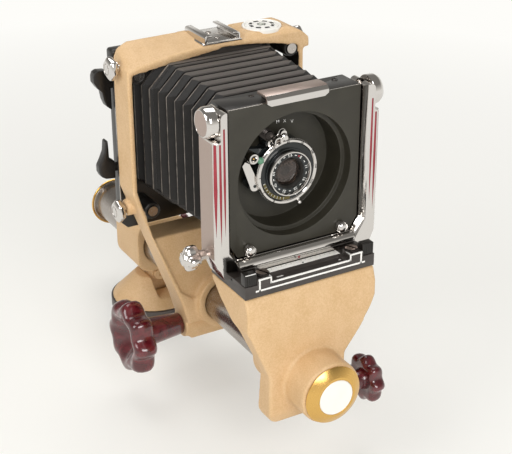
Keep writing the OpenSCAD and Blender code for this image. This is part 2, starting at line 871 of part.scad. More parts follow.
// The ring that sets the speed
module speed_ring() {
    color(chrome) at_rail() difference() {
        union() {
            rod_y(speed_ring_r, 13.4, 15.9, 0, lens_z);
            cone_y(speed_ring_r - 1, speed_ring_r, 12.4, 13.4, 0, lens_z);
        }
        rod_y(hub_r + run, 0, 20, 0, lens_z);
    }
}

// The ring and arm that set the aperture
module aperture_lever() {
    color(chrome) at_rail() {
        difference() {
            rod_y(25.8, 16.2, 18.1, 0, lens_z);
            rod_y(hub_r + run, 0, 20, 0, lens_z);
        }
        translate([0, 16.2, lens_z]) rotate([0, -23, 0]) {
            block([-1.4, 0, -35], [1.4, 1.9, -24]);
            translate([0, 0.5, -36]) sphere(r = 2.6);
        }
    }
}

// The lever that winds the shutter
module cocking_lever() {
    color(chrome) at_rail() translate([cocking_at[0], 0, lens_z + cocking_at[1]]) difference() {
        union() {
            rod_y(4.6, 16.2, 18.2);
            rotate([0, -22, 0]) slab_y(16.2, 18.2) {
                polygon([[-4.4, 0], [4.4, 0], [3.4, 22], [0.4, 26], [-3.4, 24]]);
            }
        }
        rod_y(1.5 + run, 10, 30);
    }
}

// The lever that fires the shutter
module release_lever() {
    color(chrome) at_rail() translate([release_at[0], 0, lens_z + release_at[1]]) difference() {
        union() {
            slab_y(16.2, 18.2) {
                circle(r = 4.2);
                rotate(-50) translate([-2, 0]) square([4, 13]);
                rotate(-50) translate([0, 13]) circle(r = 3.6);
            }
            rotate([0, 50, 0]) rod_y(3, 13, 16.5, 0, 13);
        }
        rod_y(1.5 + run, 10, 30);
    }
}

// The sockets for the cable release and the flash lead
module shutter_sockets() {
    color(chrome) at_rail() {
        difference() {
            rod_y(socket_r, 12, well_depth - 6, socket_at[0], lens_z + socket_at[1]);
            rod_y(2, 10, well_depth - 9, socket_at[0], lens_z + socket_at[1]);
        }
        difference() {
            union() {
                rod_y(3.6, 11, well_depth - 4, 26, lens_z + 24);
                rod_x(2.5, 16, 26, 26, lens_z + 24);
            }
            rod_y(1.6, 9, 20, 26, lens_z + 24);
            rod_y(shutter_r, 0, 60, 0, lens_z);
        }
    }
}

// The barrel round the front glass
module front_cell() {
    color(black_paint) at_rail() difference() {
        union() {
            rod_y(cell_bore - run, 11, 26, 0, lens_z);
            rod_y(20.6, 9.4, hub_front, 0, lens_z);
        }
        cone_y(16, glass_r, 8.4, 14, 0, lens_z);
        rod_y(glass_r - 1.4, 10, 40, 0, lens_z);
        rod_y(glass_r + run, 13.5, 19, 0, lens_z);
    }
}

// The front and rear glasses, discs with sloped rims
module lens_glass() {
    rim = 0.9;
    color("#9FB4C8") at_rail() for (y = [14, 41.5]) {
        cone_y(glass_r - 4, glass_r, y, y + rim, 0, lens_z);
        rod_y(glass_r, y + rim, y + 4.4 - rim, 0, lens_z);
        cone_y(glass_r, glass_r - 4, y + 4.4 - rim, y + 4.4, 0, lens_z);
    }
}

// The barrel round the rear glass
module rear_cell() {
    color(black_paint) at_rail() difference() {
        union() {
            rod_y(cell_bore - run, 30, 47, 0, lens_z);
            rod_y(16.6, well_depth + 6, 46, 0, lens_z);
        }
        rod_y(glass_r - 1.4, 20, 50, 0, lens_z);
        rod_y(glass_r + run, 41, 50, 0, lens_z);
    }
}

// The ring that holds the shutter in the board
module lock_ring() {
    color(brass) at_rail() difference() {
        rod_y(21.5, well_depth + board_wall, well_depth + board_wall + 3, 0, lens_z);
        rod_y(mount_r, 0, 60, 0, lens_z);
        for (i = [0:3]) {
            translate([0, 0, lens_z]) rotate([0, 90 * i, 0]) {
                rod_y(1, well_depth + 3, well_depth + 6, 19.5, 0);
            }
        }
    }
}

// Points of one ring of the bellows, an upright rectangle with cut corners
function bellows_ring(y, half_x, half_z, cut) = [
    for (p = [[-1, -1, 1, 0], [1, -1, -1, 0], [1, -1, 0, 1], [1, 1, 0, -1],
              [1, 1, -1, 0], [-1, 1, 1, 0], [-1, 1, 0, -1], [-1, -1, 0, 1]])
        [p[0] * half_x + p[2] * cut, y, board_mid + p[1] * half_z + p[3] * cut]
];

// How far a step of the bellows lies inside its outer folds
function fold_in(i, last) = i == 0 || i == last ? fold_depth / 2 : i % 2 == 1 ? 0 : fold_depth;

bellows_rise = 65;
bellows_spread = 4.5;
bellows_cut = 14;

// A ring of the bellows at a step, drawn in by a wall
function fold_ring(i, last, wall) = let (t = i / last, in = fold_in(i, last) + wall)
    bellows_ring(
        bellows_y0 + (bellows_y1 - bellows_y0) * t,
        bellows_front_half + (bellows_rear_half - bellows_front_half) * t - in,
        bellows_rise + bellows_spread * t - in,
        bellows_cut + 8 * t - wall / 2
    );

// The pleated bellows, a folded wall from the lens frame to the film back
module bellows() {
    last = 2 * folds;
    outer = [for (i = [0:last]) each fold_ring(i, last, 0)];
    inner = [for (i = [0:last]) each fold_ring(i, last, 1.8)];
    n = 8 * (last + 1);
    outside = [for (i = [0:last - 1], k = [0:7]) each [
        [8 * i + k, 8 * i + (k + 1) % 8, 8 * (i + 1) + k],
        [8 * i + (k + 1) % 8, 8 * (i + 1) + (k + 1) % 8, 8 * (i + 1) + k]
    ]];
    inside = [for (f = outside) [n + f[0], n + f[2], n + f[1]]];
    front = [for (k = [0:7]) each [
        [k, n + k, (k + 1) % 8], [(k + 1) % 8, n + k, n + (k + 1) % 8]
    ]];
    e = 8 * last;
    rear = [for (k = [0:7]) each [
        [e + k, e + (k + 1) % 8, n + e + k], [e + (k + 1) % 8, n + e + (k + 1) % 8, n + e + k]
    ]];
    color(black_paint) at_rail() polyhedron(concat(outer, inner), concat(outside, inside, front, rear));
}

// Arch of the rear frame down to a level, between two sides
module arch(drop, left, right, low) {
    intersection() {
        translate([0, arch_top - arch_r]) circle(r = arch_r - drop, $fn = 360);
        sheet(left, right, low, arch_top + over);
    }
}

// Outer outline of the rear frame
module rear_outline() {
    arch(0, -rear_half, brim_half, arch_top - 18);
    sheet(-rear_half, rear_half, 135, arch_top - 15);
    polygon([
        [-rear_half, 136], [-rear_half, 133], [-46, 6], [-39, -20], [-33, drive_z - 14.8],
        [33, drive_z - 14.8], [39, -20], [46, 6], [rear_half, 133], [rear_half, 136]
    ]);
}

// Clear opening of the rear frame
module rear_opening() {
    half = rear_half - rear_wall;
    arch(rear_wall, -half, half, 200);
    sheet(-half, half, 136, 201);
    polygon([
        [-half, 137], [-half, 135], [-half + 15, rear_open_low], [half - 15, rear_open_low],
        [half, 135], [half, 137]
    ]);
}

// Pocket in the front of the lower part of the rear frame
module rear_pocket() {
    polygon([
        [-rear_half + 19.5, rear_open_low + 1], [rear_half - 19.5, rear_open_low + 1],
        [46, 18], [34, 8], [-34, 8], [-46, 18]
    ]);
}

// The casting that carries the film back on the rail
module rear_casting() {
    rear_end = rear_y + rear_depth;
    color(tan_paint) at_rail() difference() {
        union() {
            difference() {
                slab_y(rear_y, rear_end) rear_outline();
                slab_y(rear_y - over, rear_end + over) rear_opening();
                slab_y(rear_y - over, rear_y + pocket_deep) rear_pocket();
                block([-100, rear_y - over, -60], [100, rear_drive_y - 12, -20]);
            }
            rod_y(rear_boss_r, rear_y - 6, rear_end + 10);
            rod_x(14.8, -39, 39, rear_drive_y, drive_z);
            slab_y(rear_y + 0.5, rear_end + 9) level_pad();
            block([shoe_x - shoe_half, rear_y, arch_top - 3], [shoe_x + shoe_half, rear_end, pad_top]);
            for (side = [-1, 1]) {
                rod_y(8.5, rear_y + 3, rear_end, side * upper_rod[0], upper_rod[1]);
                rod_y(8.5, rear_y + 3, rear_end, side * lower_rod[0], lower_rod[1]);
                rod_x(8, side * lower_rod[0], side * rear_half, rod_knob_y, lower_rod[1]);
            }
        }
        rod_y(rail_r + run, 0, 400);
        rod_x(shaft_r + run, -60, 37, rear_drive_y, drive_z);
        rod_x(pinion_r + tooth_tip + 0.8, -pinion_w / 2 - 0.5, pinion_w / 2 + 0.5,
              rear_drive_y, drive_z);
        for (side = [-1, 1]) {
            rod_y(rod_r + run, 0, 400, side * upper_rod[0], upper_rod[1]);
            rod_y(rod_r + run, 0, 400, side * lower_rod[0], lower_rod[1]);
            rod_x(rod_screw_r + run, side * upper_rod[0], side * 120, rod_knob_y, upper_rod[1] + 4);
            rod_x(rod_screw_r + run, side * lower_rod[0], side * 120, rod_knob_y, lower_rod[1] - 2);
        }
        translate([level_x, level_y, level_top - 5]) cylinder(r = level_r, h = 10);
        block([rear_half, rear_y + 10, 200], [120, 300, 300]);
        slab_x(26, 120) polygon([
            [rear_y - over, arch_top - 3], [rear_y + 8, level_top + over],
            [rear_y - over, level_top + over]
        ]);
    }
}
pocket_deep = 3;
rear_boss_r = 30;
rod_screw_r = 2.5;
level_x = 58.5;
level_y = rear_y + 22.5;
level_top = 268.5;
level_r = 19;

// Outline of the raised pad under the level
module level_pad() {
    polygon([
        [27, arch_top - 3], [28, level_top - 4], [33, level_top], [80, level_top],
        [brim_half - 8, level_top - 5], [brim_half, level_top - 12], [brim_half, arch_top - 17],
        [80, arch_top - 11]
    ]);
}

// The rear standard's shaft and pinion
module rear_pinion() {
    color(chrome) at_rail() drive_shaft(-84, 36, rear_drive_y);
}

// The rear standard's handwheel
module rear_handwheel() {
    color(bakelite) at_rail() difference() {
        union() {
            lobed_wheel(rear_wheel_r, rear_wheel_w, lobes, rear_wheel_x, rear_drive_y, drive_z);
            cone_x(14, 9.5, -88, -39.5, rear_drive_y, drive_z);
        }
        cone_x(rear_wheel_r * 0.62, 9, rear_wheel_x - rear_wheel_w / 2 - 0.01, rear_wheel_x + 1.5,
               rear_drive_y, drive_z);
        rod_x(shaft_r, -84, -30, rear_drive_y, drive_z);
    }
}
rear_wheel_x = -93.5;
rear_wheel_w = 19;

// The shoe for accessories on top of the rear frame
module accessory_shoe() {
    base = pad_top;
    depth = 41;
    color(chrome) at_rail() translate([shoe_x, rear_y, 0]) difference() {
        block([-shoe_half, 0, base], [shoe_half, depth, base + 8.4]);
        block([-14.5, -over, base + 2.4], [14.5, depth + over, base + 6.4]);
        block([-11.5, -over, base + 2.4], [11.5, depth + over, base + 20]);
        for (side = [-1, 1]) {
            block([side > 0 ? 18.6 : -30, -over, base + 3], [side > 0 ? 30 : -18.6, depth + over, base + 20]);
        }
    }
}
shoe_x = 4.5;
shoe_half = 20.5;
pad_top = arch_top + 0.2;

// The cup of the round level
module level_cup() {
    color("white") at_rail() translate([level_x, level_y, level_top - 5]) difference() {
        cylinder(r = level_r, h = 5.6);
        translate([0, 0, 2]) cylinder(r = level_r - 3, h = 10);
    }
}

// The glass of the round level
module level_glass() {
    color("#D8E4C0") at_rail() translate([level_x, level_y, level_top - 3]) {
        cylinder(r = level_r - 3, h = 2.8);
        translate([0, 0, 2.8]) cylinder(r1 = level_r - 3, r2 = level_r - 5, h = 0.8);
    }
}

// A lobed knob that clamps one rod of the film back
module rod_knob(side, rod, dz, wall_x) {
    reach = sqrt(rod_r * rod_r - pow(max(0, abs(dz) - rod_screw_r), 2));
    color(chrome) at_rail() {
        rod_x(rod_screw_r, side * (rod[0] + reach + 0.2), side * (wall_x + 6), rod_knob_y, rod[1] + dz);
        rod_x(6, side * (wall_x + slip), side * (wall_x + 3), rod_knob_y, rod[1] + dz);
        lobed_wheel(rod_knob_r, 8, 5, side * (wall_x + 7), rod_knob_y, rod[1] + dz);
    }
}

// The rods that carry the film back in the rear frame
module back_rods() {
    color(chrome) at_rail() for (side = [-1, 1], p = [upper_rod, lower_rod]) {
        rod_y(rod_r, rear_y + 2, back_y + 14, side * p[0], p[1]);
    }
}

// The black film back
module back_frame() {
    low = 80;
    high = 262;
    color(black_paint) at_rail() difference() {
        block([-back_half, back_y, low], [back_half, back_y + back_depth, high]);
        block([-window, back_y - over, board_mid - window], [window, back_y + 50, board_mid + window]);
        for (side = [-1, 1], p = [upper_rod, lower_rod]) {
            rod_y(rod_r, back_y - over, back_y + 14, side * p[0], p[1]);
        }
        for (z = catch_zs) rod_x(2 + run, -100, -back_half + 6, catch_y, z);
    }
}
window = 61;
catch_y = back_y + 9;
catch_zs = [226, 142];

// A hooked catch on the film back's left side, turning about X
module back_catch(z, dir) {
    color(black_paint) at_rail() {
        rod_x(2, -back_half - 12, -back_half + 5.5, catch_y, z);
        translate([-back_half - 12, 0, 0]) slab_x(0, 11.5) translate([catch_y, z]) {
            circle(r = 7);
            polygon([[-6, 0], [6, 0], [7, dir * 12], [2, dir * 20], [-3, dir * 19], [-1, dir * 11]]);
        }
        rod_x(5, -back_half - 18, -back_half - 11, catch_y, z);
    }
}

// The frame that the ground glass springs back in
module glass_frame() {
    y = back_y + back_depth + slip;
    color(black_paint) at_rail() difference() {
        block([-back_half + 6, y, board_mid - glass_drop], [back_half - 6, y + 10, board_high]);
        block([-window, y - over, board_mid - window], [window, y + 20, board_mid + window]);
        block([-window - 3, y - over, board_mid - window - 3], [window + 3, y + 3, board_mid + window + 3]);
    }
}

glass_drop = 82;

// The ground glass
module ground_glass() {
    y = back_y + back_depth + slip;
    color("#C9D3D0") at_rail() {
        block([-window - 2.8, y + 0.8, board_mid - window - 2.8],
              [window + 2.8, y + 3, board_mid + window + 2.8]);
    }
}

foot();
thread_bush();
pan_lock_screw();
pan_disc();
tilt_fork();
tilt_pin();
tilt_lever();
gimbal_block();
side_pin();
rail_clamp();
clamp_knob();
rail_tube();
rail_rack();
cap_rings();
cap_discs();
front_casting();
front_pinion();
front_handwheel();
swing_pivot();
swing_plate();
end_blocks();
clamp_screw(-1);  // left_clamp_screw
clamp_screw(1);  // right_clamp_screw
shift_slide();
u_frame();
rise_rails();
rise_knob();
tilt_knob(-1);  // left_tilt_knob
tilt_knob(1);  // right_tilt_knob
lens_frame();
board_studs();
lens_board();
board_latch();
shutter_case();
speed_ring();
aperture_lever();
cocking_lever();
release_lever();
shutter_sockets();
front_cell();
lens_glass();
rear_cell();
lock_ring();
bellows();
rear_casting();
rear_pinion();
rear_handwheel();
accessory_shoe();
level_cup();
level_glass();
rod_knob(-1, upper_rod, 4, rear_half);  // upper_left_rod_knob
rod_knob(1, upper_rod, 4, rear_half);  // upper_right_rod_knob
rod_knob(-1, lower_rod, -2, rear_half);  // lower_left_rod_knob
rod_knob(1, lower_rod, -2, rear_half);  // lower_right_rod_knob
back_rods();
back_frame();
back_catch(catch_zs[0], 1);  // upper_back_catch
back_catch(catch_zs[1], 1);  // lower_back_catch
glass_frame();
ground_glass();
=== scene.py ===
# %% [markdown]
# # Dressing a monorail camera
# This lesson dresses a large camera on a tube rail. The shape and the motion come from a
# finished solid model, which is loaded as a fixed frame. Each step says what a piece is on
# the real camera, how it could be made, and why this way was chosen.

# %% Load the frame
import math
import bmesh
import bpy
from mathutils import Matrix, Vector


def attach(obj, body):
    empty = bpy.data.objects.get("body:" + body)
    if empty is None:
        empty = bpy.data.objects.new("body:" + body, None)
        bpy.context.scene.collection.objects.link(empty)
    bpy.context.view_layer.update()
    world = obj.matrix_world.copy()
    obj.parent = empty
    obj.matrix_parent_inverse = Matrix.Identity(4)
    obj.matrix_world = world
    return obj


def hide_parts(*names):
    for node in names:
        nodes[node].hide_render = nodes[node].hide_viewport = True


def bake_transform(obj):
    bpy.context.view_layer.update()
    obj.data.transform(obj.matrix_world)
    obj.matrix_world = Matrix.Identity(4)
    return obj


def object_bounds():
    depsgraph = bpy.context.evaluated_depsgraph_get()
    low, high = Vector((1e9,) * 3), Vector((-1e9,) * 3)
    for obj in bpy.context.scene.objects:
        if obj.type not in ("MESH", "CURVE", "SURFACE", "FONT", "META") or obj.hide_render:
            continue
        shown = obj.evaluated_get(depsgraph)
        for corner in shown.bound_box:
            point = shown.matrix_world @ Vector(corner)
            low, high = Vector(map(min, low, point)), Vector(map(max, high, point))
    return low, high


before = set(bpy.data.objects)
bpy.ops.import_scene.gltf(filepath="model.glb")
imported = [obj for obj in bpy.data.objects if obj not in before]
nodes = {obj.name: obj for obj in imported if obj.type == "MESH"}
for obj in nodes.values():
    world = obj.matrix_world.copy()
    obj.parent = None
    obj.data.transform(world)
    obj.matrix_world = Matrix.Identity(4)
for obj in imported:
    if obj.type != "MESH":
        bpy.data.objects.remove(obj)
cad_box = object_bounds()

# %% [markdown]
# All shapes are drawn in millimetres, measured from the rail's axis under the lens board:
# X to the right, Y back from the board, Z up. One matrix then puts them into the frame,
# whose origin is the tripod thread under the head.

# %% Places in millimetres
HEAD_Y = 304
RAIL_H = 102
TO_FRAME = Matrix.Scale(0.001, 4) @ Matrix.Translation((0, -HEAD_Y, RAIL_H))


def at(x, y, z):
    """A place in rail millimetres, in the frame's metres"""
    return TO_FRAME @ Vector((x, y, z))


def spun(degrees, axis):
    """A turn about an axis through the origin"""
    return Matrix.Rotation(math.radians(degrees), 4, axis)


print("the rail's axis lies", round(at(0, 0, 0).z * 1000), "mm over the foot")

# %% [markdown]
# ## The camera
# The view was solved from the photograph: forty corners whose places on the real camera
# are known from its symmetry fix where the lens stood and how long it was.

# %% Camera
CAMERA_PLACE = (-513.8, -833.1, 611.3)
AZIMUTH, ELEVATION, ROLL = -29.66, 25.89, -0.26
LENS_LENGTH, SENSOR = 87.4, 36
view = bpy.data.cameras.new("photo_view")
view.lens = LENS_LENGTH
view.sensor_width = SENSOR
camera = bpy.data.objects.new("photo_view", view)
bpy.context.scene.collection.objects.link(camera)
camera.rotation_mode = "XYZ"
camera.matrix_world = (Matrix.Translation(at(*CAMERA_PLACE)) @ spun(AZIMUTH, "Z")
                       @ spun(90 - ELEVATION, "X") @ spun(ROLL, "Z"))
bpy.context.scene.camera = camera
print("camera stands at", [round(c, 3) for c in camera.location])

# %% [markdown]
# ## Colours and nodes
# Colours are written as they are seen, in sRGB hex, and one function turns them into the
# linear numbers that a shader adds up. One more function adds a node with its settings. A
# Mix node for colours has sockets with the same names as one for numbers, so its colour
# sockets are picked by their order.


# %% Colour and node helpers
MIX_SHARE, MIX_A, MIX_B, MIX_RESULT = 0, 6, 7, 2


def linear(hex_colour):
    """An sRGB hex colour as linear RGBA"""
    parts = [int(hex_colour[i:i + 2], 16) / 255 for i in (1, 3, 5)]
    return (*(c / 12.92 if c <= 0.04045 else ((c + 0.055) / 1.055) ** 2.4 for c in parts), 1.0)


def add(tree, kind, values=None, links=None, **settings):
    """Adds a node, sets its sockets and its settings, and links what feeds it"""
    node = tree.nodes.new(kind)
    for key, value in settings.items():
        setattr(node, key, value)
    for key, value in (values or {}).items():
        node.inputs[key].default_value = value
    for key, source in (links or {}).items():
        tree.links.new(source, node.inputs[key])
    return node


def start_material(name, colour, **sockets):
    """A material with its base colour and the numbers that are the same all over"""
    material = bpy.data.materials.new(name)
    material.use_nodes = True
    shader = material.node_tree.nodes["Principled BSDF"]
    shader.inputs["Base Color"].default_value = linear(colour)
    for key, value in sockets.items():
        shader.inputs[key.replace("_", " ")].default_value = value
    return material, material.node_tree, shader


def blend_colours(tree, low, high, source, start=0.35, end=0.65):
    """Two colours that a pattern blends, from one of its values to another"""
    share = add(tree, "ShaderNodeMapRange", {"From Min": start, "From Max": end},
                {"Value": source})
    mixed = add(tree, "ShaderNodeMix", {MIX_A: linear(low), MIX_B: linear(high)},
                {MIX_SHARE: share.outputs["Result"]}, data_type="RGBA")
    return mixed.outputs[MIX_RESULT]


def wear(tree, shader, patches, dull, grain=None, strength=0.0, height_mm=0.0):
    """Patches that are duller or glossier, and a grain that stands out as a bump"""
    share = add(tree, "ShaderNodeMapRange", {"To Min": dull[0], "To Max": dull[1]},
                {"Value": patches})
    tree.links.new(share.outputs["Result"], shader.inputs["Roughness"])
    if grain:
        bump = add(tree, "ShaderNodeBump", {"Strength": strength, "Distance": height_mm / 1000},
                   {"Height": grain})
        tree.links.new(bump.outputs["Normal"], shader.inputs["Normal"])


# %% [markdown]
# ## Crackle enamel
# The castings are aluminium, sprayed with a sand-coloured enamel that shrinks as it is
# stoved and leaves a fine pebbled skin. Its grains are drawn three quarters of a millimetre
# wide, a little coarser than real ones, so that they show. A painted texture would smear on
# the curves, so the grain is a Voronoi pattern in space, used as a bump, with a faint
# change of tone in clouds and specks and a soft gloss.


# %% Crackle enamel
GRAIN_MM = 0.75


def crackle_enamel(name, dark, light):
    material, tree, shader = start_material(name, light, Roughness=0.52)
    place = add(tree, "ShaderNodeTexCoord").outputs["Object"]
    grains = add(tree, "ShaderNodeTexVoronoi", {"Scale": 1000 / GRAIN_MM}, {"Vector": place},
                 feature="SMOOTH_F1")
    cloud = add(tree, "ShaderNodeTexNoise", {"Scale": 60, "Detail": 3}, {"Vector": place})
    speck = add(tree, "ShaderNodeTexNoise", {"Scale": 700, "Detail": 2}, {"Vector": place})
    both = add(tree, "ShaderNodeMix", {"Factor": 0.6}, {"A": cloud.outputs["Fac"],
               "B": speck.outputs["Fac"]}, data_type="FLOAT")
    tone = blend_colours(tree, dark, light, both.outputs["Result"], 0.36, 0.62)
    tree.links.new(tone, shader.inputs["Base Color"])
    wear(tree, shader, cloud.outputs["Fac"], (0.44, 0.6), grains.outputs["Distance"], 0.55, 0.28)
    return material


sand_enamel = crackle_enamel("sand_crackle_enamel", "#CFAA7B", "#DCBA8F")
grey_enamel = crackle_enamel("grey_crackle_enamel", "#4A4542", "#5C5653")
print("crackle grains are", GRAIN_MM, "mm across")

# %% [markdown]
# ## Smooth enamels and paints
# The frames and the plate are black enamel over brass and steel. The plate's is a little
# brown with age, and the lens board's is matt with a fine orange peel. Cloudy patches are
# a little paler and duller, as paint gets with the years. The same recipe gives the white
# and green enamels and the paints in the engraved lines.


# %% Smooth enamels
def smooth_enamel(name, colour, mottle, roughness, peel=0.12):
    material, tree, shader = start_material(name, colour, Roughness=roughness)
    place = add(tree, "ShaderNodeTexCoord").outputs["Object"]
    peel_noise = add(tree, "ShaderNodeTexNoise", {"Scale": 900, "Detail": 2}, {"Vector": place})
    cloud = add(tree, "ShaderNodeTexNoise", {"Scale": 45, "Detail": 4}, {"Vector": place})
    tone = blend_colours(tree, colour, mottle, cloud.outputs["Fac"], 0.45, 0.85)
    tree.links.new(tone, shader.inputs["Base Color"])
    wear(tree, shader, cloud.outputs["Fac"], (roughness - 0.06, roughness + 0.08),
         peel_noise.outputs["Fac"], peel, 0.1)
    return material


black_enamel = smooth_enamel("black_stoved_enamel", "#1B1815", "#2B2724", 0.3)
plate_enamel = smooth_enamel("plate_black_enamel", "#3A3532", "#4B4542", 0.36)
board_enamel = smooth_enamel("lens_board_matt_enamel", "#2D2A21", "#37342A", 0.46, 0.25)
well_enamel = smooth_enamel("well_flat_black", "#1D1A16", "#25221D", 0.5, 0.2)
white_enamel = smooth_enamel("white_enamel", "#F4F2EC", "#EAE7DF", 0.3, 0.04)
white_paint = smooth_enamel("white_line_paint", "#F2F1EE", "#E4E2DC", 0.5, 0.05)
black_gloss = smooth_enamel("black_gloss_enamel", "#161A19", "#20262A", 0.16, 0.03)
green_enamel = smooth_enamel("green_glass_enamel", "#5F8F72", "#7BAE90", 0.2, 0.03)
red_paint = smooth_enamel("red_filling_paint", "#8E2530", "#A03540", 0.35, 0.05)
print("seven enamels and two paints made")

# %% [markdown]
# ## Plated and turned metal
# Chrome plate over polished brass is a mirror with a few faint waves and fine wipe marks.
# Satin chrome is duller, and a pinkish satin metal is duller still; on the U frame's sides
# that pinkish metal is a painted reflection of grey surroundings. The rail is ground steel,
# with marks that run round the tube, and screws are blued steel, with a paler pinkish steel
# on the tops of the capstan heads. The cap rings are brass under clear lacquer, and the stop
# scale is oxidised brass. All are metals, so only their colour, roughness and marks differ.


# %% Metals
def plated_metal(name, colour, roughness, waves=0.03, marks=(1, 1, 1), mark_scale=500):
    material, tree, shader = start_material(name, colour, Metallic=1.0, Roughness=roughness)
    place = add(tree, "ShaderNodeTexCoord").outputs["Object"]
    stretch = add(tree, "ShaderNodeMapping", {"Scale": marks}, {"Vector": place})
    lines = add(tree, "ShaderNodeTexNoise", {"Scale": mark_scale, "Detail": 3},
                {"Vector": stretch.outputs["Vector"]})
    wear(tree, shader, lines.outputs["Fac"], (roughness * 0.7, roughness * 1.35),
         lines.outputs["Fac"], waves, 0.2)
    return material


chrome = plated_metal("polished_chrome_plate", "#D6D2CE", 0.09, 0.015, mark_scale=90)
satin_chrome = plated_metal("satin_chrome_plate", "#B9B3AD", 0.24, 0.03, mark_scale=900)
pinkish_satin = plated_metal("pinkish_satin_metal", "#B7A69D", 0.42, 0.05, mark_scale=1200)
ground_steel = plated_metal("ground_steel", "#A8A19B", 0.25, 0.05, (1, 14, 1), 260)
pale_top_steel = plated_metal("pale_pinkish_steel", "#C2B1A8", 0.36, 0.06, mark_scale=700)
dark_steel = plated_metal("blued_steel", "#3B3735", 0.28, 0.03, mark_scale=500)
lacquered_brass = plated_metal("lacquered_brass", "#E0B468", 0.24, 0.05, (1, 14, 1), 220)
olive_brass = plated_metal("oxidised_brass", "#6E6440", 0.4, 0.04, mark_scale=500)
print("eight metals made")

# %% [markdown]
# ## Bakelite
# The handwheels are moulded bakelite in a deep burgundy, polished to a high gloss. The
# colour lies a little under the surface, which a clear coat over a darker body gives.

# %% Bakelite
bakelite, tree, shader = start_material("burgundy_bakelite", "#561018", Roughness=0.2,
                                        Coat_Weight=0.6, Coat_Roughness=0.04, IOR=1.6)
place = add(tree, "ShaderNodeTexCoord").outputs["Object"]
swirl = add(tree, "ShaderNodeTexNoise", {"Scale": 70, "Detail": 4, "Distortion": 1.2},
            {"Vector": place})
tree.links.new(blend_colours(tree, "#4A0C14", "#6C1B24", swirl.outputs["Fac"], 0.4, 0.7),
               shader.inputs["Base Color"])
wear(tree, shader, swirl.outputs["Fac"], (0.16, 0.28))
print("bakelite made")

# %% [markdown]
# ## Bellows cloth
# The bellows is black leathercloth: a woven cloth with a thin grained skin. It is matt,
# yet its ridges catch a soft grey light, so it gets a sheen and a fine pebble grain. Faces
# that look upwards are mixed towards a grey: painted top light, standing in for the light
# that falls on the crests from above. The narrow crests at the sides get a pale cloth, a
# painted highlight for the light that their edges catch.

# %% Leathercloth
leathercloth, tree, shader = start_material("black_leathercloth", "#1F1C1A", Roughness=0.5,
                                            IOR=1.45, Sheen_Weight=0.12, Sheen_Roughness=0.35)
place = add(tree, "ShaderNodeTexCoord").outputs["Object"]
pebble = add(tree, "ShaderNodeTexVoronoi", {"Scale": 1300}, {"Vector": place})
dust = add(tree, "ShaderNodeTexNoise", {"Scale": 120, "Detail": 4}, {"Vector": place})
skin = blend_colours(tree, "#120F0D", "#1F1B19", dust.outputs["Fac"], 0.4, 0.75)
# Painted top light: faces whose normal points up are mixed towards a grey.
upward = add(tree, "ShaderNodeTexCoord").outputs["Normal"]
upward = add(tree, "ShaderNodeSeparateXYZ", {}, {"Vector": upward}).outputs["Z"]
top_light_share = add(tree, "ShaderNodeMapRange", {"From Min": 0.5, "From Max": 0.95}, {"Value": upward})
top_light_mix = add(tree, "ShaderNodeMix", {MIX_B: linear("#4E4843")},
            {MIX_SHARE: top_light_share.outputs["Result"], MIX_A: skin}, data_type="RGBA")
tree.links.new(top_light_mix.outputs[MIX_RESULT], shader.inputs["Base Color"])
wear(tree, shader, dust.outputs["Fac"], (0.42, 0.6), pebble.outputs["Distance"], 0.4, 0.15)
# Painted highlight: a pale cloth for the narrow side crests, standing in for the light that their
# edges catch.
ridge_highlight_cloth, tree, shader = start_material("ridge_highlight_leathercloth", "#6A635C", Roughness=0.5)
place = add(tree, "ShaderNodeTexCoord").outputs["Object"]
mottle = add(tree, "ShaderNodeTexNoise", {"Scale": 160, "Detail": 3}, {"Vector": place})
tree.links.new(blend_colours(tree, "#4A443F", "#857D75", mottle.outputs["Fac"], 0.35, 0.65),
               shader.inputs["Base Color"])
wear(tree, shader, mottle.outputs["Fac"], (0.4, 0.6))
# The pale side folds are a painted highlight.
print("leathercloth made, and its rubbed folds")

# %% [markdown]
# ## Glass
# The lens is coated glass, clear with a warm tint. The screen at the back is ground
# glass, which scatters the light that it passes. The level's bubble is plain glass.

# %% Glasses
lens_glass, tree, shader = start_material("coated_lens_glass", "#C9AFA0", Roughness=0.02,
                                          Transmission_Weight=1.0, IOR=1.52)
tint = add(tree, "ShaderNodeTexNoise", {"Scale": 30, "Detail": 1},
           {"Vector": add(tree, "ShaderNodeTexCoord").outputs["Object"]})
tree.links.new(blend_colours(tree, "#BFA08F", "#D8C4B8", tint.outputs["Fac"]),
               shader.inputs["Base Color"])
clear_glass, tree, shader = start_material("level_cover_glass", "#F4F8F2", Roughness=0.03,
                                           Transmission_Weight=1.0, IOR=1.45)
smear = add(tree, "ShaderNodeTexNoise", {"Scale": 90, "Detail": 2},
            {"Vector": add(tree, "ShaderNodeTexCoord").outputs["Object"]})
wear(tree, shader, smear.outputs["Fac"], (0.01, 0.06))
ground_glass, tree, shader = start_material("ground_glass", "#DDE3DF", Roughness=0.6,
                                            Transmission_Weight=0.35, IOR=1.5)
grit = add(tree, "ShaderNodeTexNoise", {"Scale": 1500, "Detail": 2},
           {"Vector": add(tree, "ShaderNodeTexCoord").outputs["Object"]})
bump = add(tree, "ShaderNodeBump", {"Strength": 0.3, "Distance": 0.0001},
           {"Height": grit.outputs["Fac"]})
tree.links.new(bump.outputs["Normal"], shader.inputs["Normal"])
print("three glasses made")

# %% [markdown]
# ## Shape helpers
# Most pieces are turned, cut from a plate or sawn from a bar, so the first helpers follow
# those trades: a lathe that spins a profile, a saw that extrudes an outline, and a block.
# Others round edges, copy a solid, cut one shape with others, grow lobes, repeat a shape,
# write figures and take out the faces that get another finish. The last gathers the shapes
# of one piece, gives each its material and hangs the piece on a body.

# %% Shape helpers
AXES = {"z": Matrix.Identity(4), "y": spun(-90, "X"), "x": spun(90, "Y")}
SIDES = ((-1, "left"), (1, "right"))


